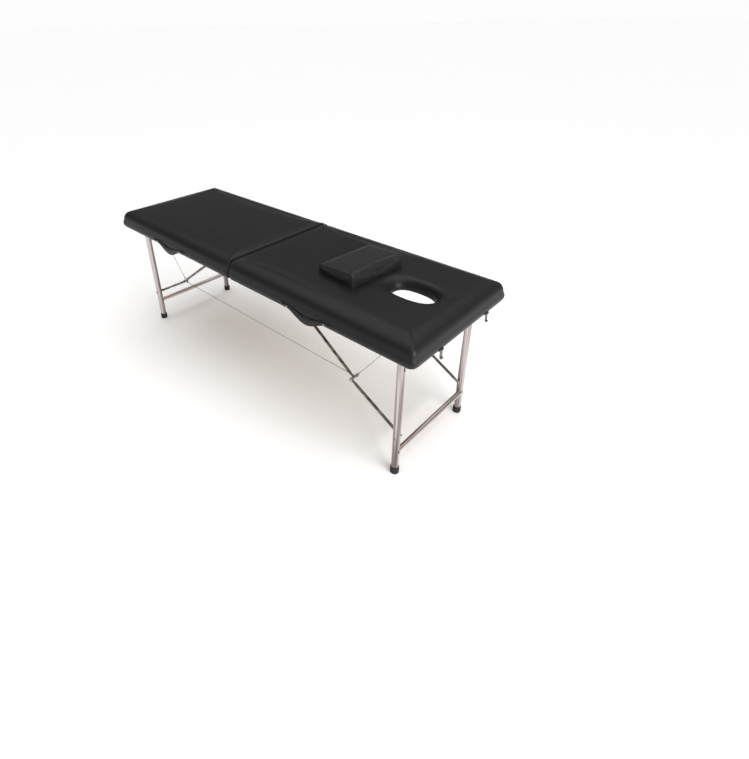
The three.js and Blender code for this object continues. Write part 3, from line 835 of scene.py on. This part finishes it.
def makePad(half):
    way = halves[half]
    points, faces, held = padSkin(half)
    points[:, :2] *= way
    cover = rawPiece(f"{half}_padded_cover", points, faces, finishes["cover"])
    outward = sum(p.normal.z * p.area for p in cover.data.polygons)
    if outward < 0:
        cover.data.flip_normals()
    inflate(cover, held, pad["pressure"], pad["puff"], pad["slack"])
    with editing(cover.data) as edit:
        loose = [vertex for vertex, fixed in zip(edit.verts, held) if not fixed]
        relax(edit, loose, pad["softening"])

    foam = cover.copy()
    foam.data = cover.data.copy()
    foam.name = f"{half}_foam_block"
    bpy.context.scene.collection.objects.link(foam)
    low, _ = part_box(f"{half}_foam")
    with editing(foam.data) as edit:
        relax(edit, edit.verts, pad["foamSoftening"])
        edit.normal_update()
        for vertex in edit.verts:
            vertex.co -= vertex.normal * (pad["thickness"] + pad["foamGap"])
        cut = bmesh.ops.bisect_plane(
            edit,
            geom=edit.verts[:] + edit.edges[:] + edit.faces[:],
            plane_co=(0, 0, low.z),
            plane_no=(0, 0, -1),
            clear_outer=True,
        )
        rims = [g for g in cut["geom_cut"] if isinstance(g, bmesh.types.BMEdge)]
        bmesh.ops.triangle_fill(edit, use_beauty=True, edges=rims)
        bmesh.ops.recalc_face_normals(edit, faces=edit.faces)
    foam.data.materials[0] = finishes["foam"]
    smoothShade(foam, 40)
    settle(foam, f"{half}_panel", "foam", f"{half}_foam")

    wall = cover.modifiers.new("wall", "SOLIDIFY")
    wall.thickness = pad["thickness"]
    wall.offset = -1
    applyModifiers(cover)
    smoothShade(cover, 60)
    settle(cover, f"{half}_panel", "leatherette", f"{half}_cover")


staple = {
    "spacing": 38 * mm,
    "width": 9 * mm,
    "gauge": 0.55 * mm,
    "inset": 12 * mm,
    "margins": (50 * mm, 70 * mm),  # clear of the fold and of the far end
    "endMargin": 60 * mm,
    "tilt": 0.25,
}


def makeStaples(half):
    way = halves[half]
    low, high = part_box(f"{half}_cover")
    x1 = max(abs(low.x), abs(high.x))
    z = low.z - 1.5 * mm
    inset, margin = staple["inset"], staple["endMargin"]
    run = x1 - sum(staple["margins"])
    rows = []
    for sign in (-1, 1):
        count = int((run - 10 * mm) / staple["spacing"])
        for k in range(count):
            x = staple["margins"][0] + run * k / (count - 1)
            rows.append(((way * x, sign * (high.y - inset)), (1, 0)))
    count = int(2 * (high.y - margin) / staple["spacing"])
    for k in range(count):
        y = -high.y + margin + 2 * (high.y - margin) * k / (count - 1)
        rows.append(((way * (x1 - inset), y), (0, 1)))
    shape = Shape()
    random.seed(7)
    for (x, y), (ax, ay) in rows:
        tilt = random.uniform(-staple["tilt"], staple["tilt"])
        dx = (ax * math.cos(tilt) - ay * math.sin(tilt)) * staple["width"] / 2
        dy = (ax * math.sin(tilt) + ay * math.cos(tilt)) * staple["width"] / 2
        ends = [Vector((x - dx, y - dy, z)), Vector((x + dx, y + dy, z))]
        shape.rod(*ends, staple["gauge"], 8, chamfer=0.1 * mm)
        for end in ends:
            shape.rod(end, end + Vector((0, 0, 2.2 * mm)), staple["gauge"], 8, chamfer=0.1 * mm)
    settle(shape.build(f"{half}_staples", "plate"), f"{half}_panel", "plate_steel")


pillow = {
    "length": 188 * mm,
    "width": 280 * mm,
    "high": 57 * mm,
    "low": 40 * mm,
    "turn": -5,  # degrees
    "cells": (30, 42, 10),
    "round": 8 * mm,
    "shrink": 2 * mm,  # room for the cloth step
    "pressure": 4.0,
    "slack": 0.006,
    "puff": 5 * mm,
    "welt": 1.5 * mm,
    "fill": 0.85,
}


def makePillow():
    counts = pillow["cells"]
    steps = [spread(count, 0.62) / 2 + 0.5 for count in counts]
    length, width, r = pillow["length"], pillow["width"], pillow["round"]
    shrink = pillow["shrink"]
    number, points, faces = {}, [], []

    def spot(i, j, k):
        if (i, j, k) not in number:
            number[i, j, k] = len(points)
            u, v, w = steps[0][i], steps[1][j], steps[2][k]
            height = pillow["low"] + (pillow["high"] - pillow["low"]) * u
            size = np.array((length - 2 * shrink, width - 2 * shrink, height - shrink))
            p = np.array((u, v, w)) * size
            core = np.clip(p, r, size - r)
            out = p - core
            distance = np.linalg.norm(out)
            p = core + out / distance * r if distance > 1e-9 else p
            points.append(p - (size[0] / 2, size[1] / 2, 0))
        return number[i, j, k]

    ends = [(0, c) for c in counts]
    for axis in range(3):
        a, b = [n for n in range(3) if n != axis]
        for end in ends[axis]:
            for p in range(counts[a]):
                for q in range(counts[b]):
                    face = []
                    for dp, dq in ((0, 0), (1, 0), (1, 1), (0, 1)):
                        index = [0, 0, 0]
                        index[axis], index[a], index[b] = end, p + dp, q + dq
                        face.append(spot(*index))
                    faces.append(face)
    cushion = rawPiece("wedge_pillow", points, faces, finishes["pillow"])
    held = np.array(points)[:, 2] < 0.3 * mm
    inflate(cushion, held, pillow["pressure"], pillow["puff"], pillow["slack"])
    co = np.array([v.co for v in cushion.data.vertices])
    nx, ny, nz = counts
    topLoop = [(i, 0, nz) for i in range(nx)] + [(nx, j, nz) for j in range(ny)]
    topLoop += [(nx - i, ny, nz) for i in range(nx)] + [(0, ny - j, nz) for j in range(ny)]
    baseLoop = [(i, j, 1) for i, j, _ in topLoop]
    uprights = [[(i, j, k) for k in range(1, nz + 1)] for i in (0, nx) for j in (0, ny)]
    shape = Shape()
    for path, joined in [(topLoop, True), (baseLoop, True)] + [(u, False) for u in uprights]:
        line = [Vector(co[number[s]]) for s in path]
        rings = []
        for n, here in enumerate(line):
            ahead = line[(n + 1) % len(line)] if joined or n + 1 < len(line) else here
            behind = line[n - 1] if joined or n else here
            run = (ahead - behind).normalized()
            up = Vector((here.x / length, here.y / width, 0.15)).normalized()
            side = run.cross(up).normalized()
            up = side.cross(run)
            ring = []
            for a in circle(8):
                ring.append(here + pillow["welt"] * (math.cos(a) * up + math.sin(a) * side))
            rings.append(ring)
        shape.rings(rings, caps=not joined, joined=joined)
    welt = shape.build("pillow_welt", "pillow", sharp=80)
    low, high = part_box("pillow")
    place = Matrix.Translation(((low.x + high.x) / 2, (low.y + high.y) / 2, low.z + 1.2 * mm))
    place = place @ Matrix.Rotation(math.radians(pillow["turn"]), 4, "Z")
    for part in (cushion, welt):
        part.data.transform(place)
    smoothShade(cushion, 70)
    settle(cushion, "pillow", "leatherette", "pillow")
    settle(welt, "pillow", "leatherette")


tube = {
    "legRadius": 14 * mm,
    "wall": 1.5 * mm,
    "barRadius": 11 * mm,
    "boltRadius": 3 * mm,
    "headRadius": 6.2 * mm,
    "beadRadius": 1.5 * mm,
}


def legPlace(half, side):
    low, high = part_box(f"{half}_foot_cap_{side}")
    return (low.x + high.x) / 2, (low.y + high.y) / 2


def makeLeg(half, side):
    x, y = legPlace(half, side)
    low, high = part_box(f"{half}_leg_{side}")
    out = math.copysign(1, y)
    r, inner = tube["legRadius"], tube["legRadius"] - tube["wall"]
    soft = 0.4 * mm
    shape = Shape()
    profile = [
        (r - soft, low.z),
        (r, low.z + soft),
        (r, high.z - soft),
        (r - soft, high.z),
        (inner + soft, high.z),
        (inner, high.z - soft),
        (inner, low.z + soft),
        (inner + soft, low.z),
    ]
    shape.lathe(profile, Matrix.Translation((x, y, 0)), 48, joined=True)
    bolt = jointPlace(f"{half}_lower_brace_{side}_turn")
    tabOut, tabIn = bolt.y + out * 2.4 * mm, bolt.y - out * 2.4 * mm

    onBolt = acrossFrom(bolt)
    shape.rod(onBolt(y - out * (r - 1 * mm)), onBolt(tabOut), 6 * mm, 28, 1)
    shape.rod(onBolt(tabOut), onBolt(tabIn), tube["boltRadius"], 20, 1)
    shape.dome(onBolt(tabIn), onBolt(tabIn - out * 2.6 * mm), tube["headRadius"], 28, 1)
    shape.hexHead(onBolt(y + out * (r - 0.6 * mm)), onBolt(y + out * (r + 3.4 * mm)), 5.4 * mm, 1)
    piece = shape.build(f"{half}_leg_tube_{side}", "tubeUp", "plate")
    settle(piece, f"{half}_legs", "tube_steel", f"{half}_leg_{side}")


cap = {"ribs": 5, "ribHeight": 0.5 * mm, "turns": 44}


def makeFootCap(half, side):
    x, y = legPlace(half, side)
    low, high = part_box(f"{half}_foot_cap_{side}")
    r, tall = (high.x - low.x) / 2, high.z - low.z
    inner = tube["legRadius"] + 0.25 * mm
    profile = [(0.1 * mm, 0), (r * 0.55, 0), (r * 0.6, 0.7 * mm), (r * 0.78, 0.7 * mm)]
    profile += [(r * 0.82, 0), (r - 2 * mm, 0), (r - 0.8 * mm, 0.5 * mm), (r, 2.2 * mm)]
    for k in range(cap["ribs"]):
        z = 6 * mm + k * 3.2 * mm
        lift = cap["ribHeight"]
        profile += [(r - lift, z), (r, z + 0.8 * mm), (r, z + 1.8 * mm), (r - lift, z + 2.6 * mm)]
    profile += [(r - 0.4 * mm, tall - 4 * mm), (r, tall - 3 * mm), (r, tall - 1 * mm)]
    profile += [(r - 0.9 * mm, tall), (inner + 0.5 * mm, tall), (inner, tall - 0.8 * mm)]
    profile += [(inner, 5 * mm), (0.1 * mm, 5 * mm)]
    shape = Shape().lathe(profile, Matrix.Translation((x, y, low.z)), cap["turns"], joined=True)
    piece = shape.build(f"{half}_rubber_foot_{side}", "rubber", sharp=50)
    settle(piece, f"{half}_legs", "rubber", f"{half}_foot_cap_{side}")


def makeCrossbar(half, level):
    low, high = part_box(f"{half}_{level}_crossbar")
    legX, legY = legPlace(half, "far")
    legY = abs(legY)
    x, z, r = (low.x + high.x) / 2, (low.z + high.z) / 2, tube["barRadius"]

    def saddle(angle, radius, grow):
        reach = tube["legRadius"] + grow
        across = x + radius * math.cos(angle) - legX
        return legY - math.sqrt(max(reach**2 - across**2, 0))

    shape = Shape()
    rings = []
    for end in (-1, 1):
        for back in ((0, 30 * mm) if end < 0 else (30 * mm, 0)):
            ring = []
            for a in circle(36):
                y = end * (saddle(a, r, 0.05 * mm) - back)
                ring.append((x + r * math.cos(a), y, z + r * math.sin(a)))
            rings.append(ring)
    shape.rings(rings)
    for end in (-1, 1):
        beads = []
        for a in circle(72):
            bead = tube["beadRadius"] * (0.85 + 0.15 * math.sin(9 * a * 2))
            ring = []
            for t in circle(8):
                reach = r + bead * math.cos(t)
                y = saddle(a, reach, 0.5 * mm) + bead * math.sin(t)
                ring.append((x + reach * math.cos(a), end * y, z + reach * math.sin(a)))
            beads.append(ring)
        shape.rings(beads, 1, joined=True)
    piece = shape.build(f"{half}_{level}_cross_tube", "tubeAcross", "weld", sharp=50)
    settle(piece, f"{half}_legs", "tube_steel", f"{half}_{level}_crossbar")


bracket = {
    "ear": 17.4 * mm,  # outer face of each ear from the leg's middle
    "screws": (-18 * mm, 18 * mm),
    "screwInset": 26 * mm,
}


def makeLegBracket(half, side):
    pivot = jointPlace("leg_fold" if half == "head" else "foot_leg_fold")
    x, y = legPlace(half, side)
    _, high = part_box(f"{half}_leg_bracket_{side}")
    out = math.copysign(1, y)
    shape = Shape().cadNode(f"{half}_leg_bracket_{side}")
    ear, inside = y + out * bracket["ear"], y - out * bracket["ear"]

    onPivot = acrossFrom(pivot)
    shape.hexHead(onPivot(ear), onPivot(ear + out * 4 * mm), 6.4 * mm, 1)
    shape.dome(onPivot(ear), onPivot(ear + out * 1 * mm), 8 * mm, 28, 1)
    shape.dome(onPivot(inside), onPivot(inside - out * 2.6 * mm), 6.4 * mm, 28, 1)
    plateBottom = high.z - 2.6 * mm
    for dx in bracket["screws"]:
        spot = (x + dx, y - out * bracket["screwInset"], plateBottom)
        shape.screw(spot, (0, 0, -1), 3.2 * mm, 1)
    piece = shape.build(f"{half}_leg_hinge_{side}", "plate", "plate", "enamel", bevel=0.45 * mm)
    settle(piece, f"{half}_panel", "plate_steel", f"{half}_leg_bracket_{side}")


link = {
    "radius": 6 * mm,
    "tabThickness": 4 * mm,
    "tabLength": 26 * mm,
    "turns": 28,
    "bossRadius": 5.9 * mm,
}


def braceTube(shape, start, end):  # round, with both ends pressed flat
    place, length = alongAxis(start, end)
    local = place.inverted() @ (Vector(start) + Vector((0, 1, 0)))
    spin = math.atan2(local.y, local.x)
    r, flat, tab = link["radius"], link["tabThickness"] / 2, link["tabLength"]
    stations = [-0.999 * r, -0.93 * r, -0.8 * r, -0.55 * r, -0.25 * r, 0.2 * r]
    stations += [tab + offset * mm for offset in (-11, -7, -3, 1, 5, 9)]
    stations += [length - s for s in stations[::-1]]
    rings = []
    for s in stations:
        reach = min(s, length - s)
        press = min(max((reach - tab + 12 * mm) / (20 * mm), 0), 1)
        press = press * press * (3 - 2 * press)
        tall = r * math.sqrt(max(1 - min(reach / r, 0) ** 2, 0.002))
        swell = 1 + 0.16 * math.sin(math.pi * press)
        thick = (flat + (r - flat) * press) * (0.55 + 0.45 * tall / r)
        power = 0.32 + 0.68 * press
        ring = []
        for a in circle(link["turns"]):
            c, d = math.cos(a), math.sin(a)
            across = thick * math.copysign(abs(c) ** power, c)
            up = tall * (1 + (swell - 1) * (1 - press))
            up *= math.copysign(abs(d) ** (0.6 + 0.4 * press), d)
            turned = Matrix.Rotation(spin, 4, "Z") @ Vector((across, up, s))
            ring.append(turned)
        rings.append(ring)
    shape.rings(rings, 0, place)


def makeBraces(half, side):
    top = jointPlace(f"{half}_upper_brace_{side}_turn")
    foot = jointPlace(f"{half}_lower_brace_{side}_turn")
    knee = jointPlace(f"{half}_long_stay_{side}_turn")
    shortEnd = jointPlace(f"{half}_short_stay_{side}_turn")
    out = math.copysign(1, top.y)
    atKnee = acrossFrom(knee)
    upper = Shape()
    braceTube(upper, top, atKnee(top.y))
    innerEnd = shortEnd.y - out * 4 * mm
    upper.rod(atKnee(top.y), atKnee(foot.y - out * 6.5 * mm), link["bossRadius"], 28, 1)
    upper.rod(atKnee(top.y), atKnee(innerEnd), 3 * mm, 20, 1)
    upper.hexHead(atKnee(innerEnd), atKnee(innerEnd - out * 4.5 * mm), 7.2 * mm, 1)
    piece = upper.build(f"{half}_upper_link_{side}", "brace", "plate", sharp=48)
    settle(piece, f"{half}_upper_brace_{side}", "brace_steel", f"{half}_upper_brace_{side}")

    lower = Shape()
    braceTube(lower, foot, atKnee(foot.y))
    face = foot.y + out * 1.9 * mm
    lower.rod(atKnee(foot.y), atKnee(foot.y - out * 6.1 * mm), link["bossRadius"], 28, 1)
    lower.hexHead(atKnee(face), atKnee(face + out * 4.2 * mm), 7.2 * mm, 1)
    piece = lower.build(f"{half}_lower_link_{side}", "brace", "plate", sharp=48)
    settle(piece, f"{half}_lower_brace_{side}", "brace_steel", f"{half}_lower_brace_{side}")

    node = f"{half}_brace_bracket_{side}"
    low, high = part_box(node)
    clevis = Shape().cadNode(node)
    for way in (-1, 1):
        cheek = top.y + way * 5.4 * mm
        head = Vector((top.x, cheek, top.z))
        clevis.dome(head, head + Vector((0, way * 2 * mm, 0)), 5.2 * mm, 24, 1)
        for share in (0.28, 0.72):
            spot = (low.x + share * (high.x - low.x), top.y + way * 11.5 * mm, high.z - 2.1 * mm)
            clevis.screw(spot, (0, 0, -1), 3 * mm, 1)
    piece = clevis.build(f"{half}_brace_clevis_{side}", "plate", "plate", "enamel", bevel=0.4 * mm)
    settle(piece, f"{half}_panel", "plate_steel", node)


rope = {
    "radius": 1.25 * mm,
    "strands": 6,
    "pitch": 15 * mm,
    "stepsPerTurn": 10,
    "eyeRadius": 4.9 * mm,
    "eyeWire": 0.95 * mm,
    "sleeve": (18 * mm, 2.9 * mm),
    "slackShare": 0.39,  # of a long half stay, once the knees have come together
    "foldedShare": 0.32,  # of a short stay, once its knee has folded up
}


def wireRope(name, start, end, farEye):  # the twisted strands, with a sleeve at a far eye
    place, length = alongAxis(start, end)
    first, last = rope["eyeRadius"], length - (rope["eyeRadius"] if farEye else 0)
    count = int((last - first) / rope["pitch"] * rope["stepsPerTurn"])
    points = rope["strands"] * 2
    rings = []
    for k in range(count + 1):
        s = first + (last - first) * k / count
        twist = 2 * math.pi * s / rope["pitch"]
        ring = []
        for i, a in enumerate(circle(points)):
            r = rope["radius"] * (1.0 if i % 2 == 0 else 0.78)
            ring.append((r * math.cos(a + twist), r * math.sin(a + twist), s))
        rings.append(ring)
    shape = Shape().rings(rings, 0, place)
    if farEye:
        crimp(shape, last - 0.3 * mm - rope["sleeve"][0], place)
    return shape.build(name, "wire", "plate", sharp=80)


def crimp(shape, z0, place):  # the pressed sleeve that closes an eye
    long, wide = rope["sleeve"]
    near = [(0.8, 0), (1, 0.7), (1, 3.5), (0.84, 4.6), (0.84, 5.6), (1, 6.6)]
    far = [(1, 5), (0.84, 4), (0.84, 3), (1, 2), (1, 0.7), (0.8, 0)]
    profile = [(wide * share, z0 + s * mm) for share, s in near]
    profile += [(wide * share, z0 + long - s * mm) for share, s in far]
    shape.lathe(profile, place, 20, 1)


def wireEye(name, start, towards, closed=True):  # the loop round a bolt, and its sleeve
    place, _ = alongAxis(start, towards)
    local = place.inverted() @ (Vector(start) + Vector((0, 1, 0)))
    spin = Matrix.Rotation(math.atan2(local.y, local.x), 4, "Z")
    eye, wire = rope["eyeRadius"], rope["eyeWire"]
    shape = Shape()
    loops = []
    for a in circle(28):
        ring = []
        for t in circle(8):
            reach = eye + wire * math.cos(t)
            spot = (wire * math.sin(t), reach * math.sin(a), reach * math.cos(a))
            ring.append(spin @ Vector(spot))
        loops.append(ring)
    shape.rings(loops, 0, place, joined=True)
    if closed:
        crimp(shape, eye + 0.3 * mm, place)
    return shape.build(name, "wire", "plate", sharp=80)


def makeStays(half, side):
    knee = jointPlace(f"{half}_long_stay_{side}_turn")
    anchor = jointPlace(f"{half}_short_stay_{side}_turn")
    body = f"{half}_short_stay_{side}"
    kneeEnd = Vector((knee.x, anchor.y, knee.z))
    short = wireRope(f"{half}_short_wire_{side}", anchor, kneeEnd, True)
    settle(short, body, "wire_steel", body)
    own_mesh(short)
    low = wireEye(f"{half}_short_wire_knee_eye_{side}", kneeEnd, anchor, False)
    settle(low, f"{half}_upper_brace_{side}", "wire_steel")
    top = wireEye(f"{half}_short_wire_top_eye_{side}", anchor, kneeEnd)
    settle(top, body, "wire_steel")

    body = f"{half}_long_stay_{side}"
    middleEnd = Vector((math.copysign(0.15 * mm, knee.x), knee.y, knee.z))
    long = wireRope(f"{half}_long_wire_{side}", knee, middleEnd, False)
    settle(long, body, "wire_steel", body)
    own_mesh(long)
    eye = wireEye(f"{half}_long_wire_eye_{side}", knee, middleEnd)
    settle(eye, body, "wire_steel")


hinge = {
    "knuckles": 8,
    "knuckleRadius": 3.2 * mm,
    "pinRadius": 1.5 * mm,
    "web": 6 * mm,
    "leafThickness": 1.5 * mm,
    "screws": 9,
}


def makeHinge():
    linkLow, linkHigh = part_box("hinge_link")
    z = (linkLow.z + linkHigh.z) / 2
    r = hinge["knuckleRadius"]
    pinX = linkHigh.x - r
    reach = linkHigh.y
    length = 2 * reach - hinge["web"]
    pitch = length / hinge["knuckles"]
    for half, way in halves.items():
        low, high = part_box(f"hinge_leaf_{half}")
        wide = max(abs(low.x), abs(high.x))
        shape = Shape()
        edges = sorted((way * (pinX + r + 0.5 * mm), way * wide))
        shape.block(
            (edges[0], low.y, high.z - hinge["leafThickness"]), (edges[1], high.y, high.z)
        )
        for k in range(hinge["knuckles"]):
            y0 = -length / 2 + k * pitch + hinge["web"] / 2 + 0.3 * mm
            y1 = y0 + pitch - hinge["web"] - 0.6 * mm
            shape.rod((way * pinX, y0, z), (way * pinX, y1, z), r, 24, chamfer=0.3 * mm)
            neck = sorted((way * pinX, way * (pinX + r + 1.5 * mm)))
            shape.block((neck[0], y0, z + r - hinge["leafThickness"]), (neck[1], y1, z + r))
        for k in range(hinge["screws"]):
            y = low.y + 0.03 + (high.y - low.y - 0.06) * k / (hinge["screws"] - 1)
            x = way * (wide - (9 if k % 2 else 16) * mm)
            shape.screw((x, y, high.z - hinge["leafThickness"]), (0, 0, -1), 2.9 * mm, 0)
        piece = shape.build(f"centre_hinge_leaf_{half}", "plate", "enamel", sharp=40)
        settle(piece, f"{half}_panel", "plate_steel", f"hinge_leaf_{half}")
    shape = Shape()
    for way in (-1, 1):
        shape.rod((way * pinX, -reach, z), (way * pinX, reach, z), hinge["pinRadius"], 20)
    for k in range(hinge["knuckles"] + 1):
        y = -reach + k * pitch
        for way in (-1, 1):
            shape.rod((way * pinX, y, z), (way * pinX, y + hinge["web"], z), r, 24)
        webLow = (-pinX, y + 0.3 * mm, z - r + 0.5 * mm)
        webHigh = (pinX, y + hinge["web"] - 0.3 * mm, z + r - 0.5 * mm)
        shape.block(webLow, webHigh)
    piece = shape.build("centre_hinge_link", "plate", sharp=40)
    settle(piece, "centre_link", "wire_steel", "hinge_link")


strap = {
    "length": 250 * mm,
    "drop": 44 * mm,
    "width": 31 * mm,
    "thickness": 9 * mm,
    "end": 4.5 * mm,
    "endLength": 16 * mm,
    "stitchSpacing": 6.4 * mm,
    "stitchLine": 0.74,
    "rings": 72,
}


def strapEdges(x):
    half = strap["length"] / 2

    def hump(reach):
        return (1 + math.cos(math.pi * x / reach)) / 2 if abs(x) < reach else 0

    low = -strap["end"] - (strap["drop"] - strap["end"]) * hump(half * 0.94)
    high = strap["end"] - (strap["drop"] - strap["width"] + strap["end"]) * hump(half * 0.78)
    return low, high


def makeStrap(half):
    pivot = jointPlace(f"{half}_handle_swing")
    count = strap["rings"]
    reach = strap["length"] / 2
    place = Matrix.Translation(pivot)
    thick = strap["thickness"] / 2
    line = strap["stitchLine"]

    def thickness(w, x):
        flatness = min(max((reach - strap["endLength"] - abs(x)) / (18 * mm), 0), 1)
        padded = 0.56 + 0.44 * (1 - abs(w) ** 4)
        groove = 0.16 * math.exp(-(((abs(w) - line) / 0.07) ** 2))
        flat = padded - groove
        if abs(w) >= 0.98:
            flat *= 0.6
        rolled = math.sqrt(max(1 - w * w, 0.0))
        return thick * (flatness * flat + (1 - flatness) * rolled)

    widths = [0.2, 0.45, 0.64, 0.74, 0.84, 0.93, 1]
    widths = [-w for w in widths[::-1]] + [0] + widths
    shape = Shape()
    rings = []
    for k in range(count + 1):
        x = -reach + strap["length"] * k / count
        low, high = strapEdges(x)
        centre, tall = (low + high) / 2, (high - low) / 2
        ring = [(x, -thickness(w, x), centre + w * tall) for w in widths]
        ring += [(x, thickness(w, x), centre + w * tall) for w in widths[::-1]]
        rings.append(ring)
    shape.rings(rings, 0, place)
    stitches = int((strap["length"] - 2 * strap["endLength"] - 16 * mm) / strap["stitchSpacing"])
    for k in range(stitches):
        for w in (-line, line):
            for face in (-1, 1):
                ends = []
                for share in (0.0, 0.62):
                    x = (k + share - stitches / 2) * strap["stitchSpacing"]
                    low, high = strapEdges(x)
                    depth = face * (thickness(w, x) + 0.1 * mm)
                    spot = Vector((x, depth, (low + high) / 2 + w * (high - low) / 2))
                    ends.append(place @ spot)
                shape.rod(*ends, 0.42 * mm, 8, 1, chamfer=0.15 * mm)
    for end in (-1, 1):
        x = end * (reach - strap["endLength"] - 14 * mm)
        low, high = strapEdges(x)
        for face in (-1, 1):
            surface = face * (thickness(0, x) - 0.2 * mm)
            start = place @ Vector((x, surface, (low + high) / 2))
            tip = place @ Vector((x, surface + face * 1.3 * mm, (low + high) / 2))
            shape.dome(start, tip, 3.6 * mm, 24, 2)
    piece = shape.build(f"{half}_carry_strap", "strap", "thread", "plate", sharp=50)
    settle(piece, f"{half}_handle", "leatherette", f"{half}_handle")
    for hand in ("left", "right"):
        node = f"{half}_handle_plate_{hand}"
        low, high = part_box(node)
        plate = Shape().cadNode(node)
        inward = 1 if (low.x + high.x) / 2 < pivot.x else -1
        base = high.y - 1 * mm
        far = low.x if inward > 0 else high.x
        for dz in (-8, 8):
            spot = (far + inward * 7 * mm, base, (low.z + high.z) / 2 + dz * mm)
            plate.screw(spot, (0, -1, 0), 2.6 * mm, 1)
        name = f"{half}_strap_plate_{hand}"
        made = plate.build(name, "enamel", "plate", "enamel", bevel=0.3 * mm)
        settle(made, f"{half}_panel", "black_metal", node)


hasp = {
    "thickness": 1.5 * mm,
    "screws": (-7 * mm, 7 * mm),
    "screwRadius": 2.6 * mm,
    "screwDrop": 6 * mm,
    "barrelRadius": 3.15 * mm,
    "studRadius": 3.0 * mm,
}


def makeHasps(side):
    pivot = jointPlace(f"hasp_{side}_swing")
    low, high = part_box(f"hasp_plate_{side}")
    plate = Shape().cadNode(f"hasp_plate_{side}")
    face = low.x + hasp["thickness"]
    for dy in hasp["screws"]:
        spot = (face, pivot.y + dy, high.z - hasp["screwDrop"])
        plate.screw(spot, (1, 0, 0), hasp["screwRadius"], 1)
    for way in (-1, 1):
        cheek = (high.y if way > 0 else low.y) + way * -0.4 * mm
        start = Vector((pivot.x, cheek, pivot.z))
        plate.dome(start, start + Vector((0, way * 1 * mm, 0)), 2.6 * mm, 20, 1)
    made = plate.build(f"hasp_hinge_{side}", "hasp", "hasp", "enamel", bevel=0.3 * mm)
    settle(made, "head_panel", "plate_steel", f"hasp_plate_{side}")

    low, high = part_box(f"hasp_arm_{side}")
    arm = Shape().cadNode(f"hasp_arm_{side}")
    ends = [(pivot.x, y, pivot.z) for y in (low.y, high.y)]
    arm.rod(*ends, hasp["barrelRadius"], 24)
    made = arm.build(f"hasp_tongue_{side}", "hasp", bevel=0.3 * mm)
    settle(made, f"hasp_arm_{side}", "plate_steel", f"hasp_arm_{side}")

    low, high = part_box(f"hasp_post_{side}")
    post = Shape().cadNode(f"hasp_post_{side}")
    y = (low.y + high.y) / 2
    z = low.z + 2.5 * mm
    post.dome((low.x + 1.2 * mm, y, z), (low.x - 1.2 * mm, y, z), hasp["studRadius"], 24, 1)
    for dy in hasp["screws"]:
        spot = (high.x - hasp["thickness"], y + dy, high.z - hasp["screwDrop"])
        post.screw(spot, (-1, 0, 0), hasp["screwRadius"], 1)
    made = post.build(f"hasp_stud_{side}", "hasp", "hasp", "enamel", bevel=0.3 * mm)
    settle(made, "foot_panel", "plate_steel", f"hasp_post_{side}")


addCamera()
for lamp in softboxes:
    addSoftbox(*lamp)
lightSurroundings()
bpy.context.scene.view_settings.view_transform = "Standard"
reach = studio["floorSize"] / 2
floor = rawPiece(
    "floor",
    [(-reach, -reach, 0), (reach, -reach, 0), (reach, reach, 0), (-reach, reach, 0)],
    [(0, 1, 2, 3)],
    floorFinish(),
)
print("camera, floor and lights are up")

for half in halves:
    makePad(half)
    makeStaples(half)
    makeStrap(half)
    for level in ("lower", "upper"):
        makeCrossbar(half, level)
    for side in sides:
        makeLeg(half, side)
        makeFootCap(half, side)
        makeLegBracket(half, side)
        makeBraces(half, side)
        makeStays(half, side)
    print(half, "half made")
for half in halves:
    frame["nodes"][f"{half}_board"].data.materials[0] = finishes["board"]
    frame["nodes"][f"{half}_rim"].data.materials[0] = finishes["rim"]
makeHinge()
for side in sides:
    makeHasps(side)
makePillow()
print("all pieces made")
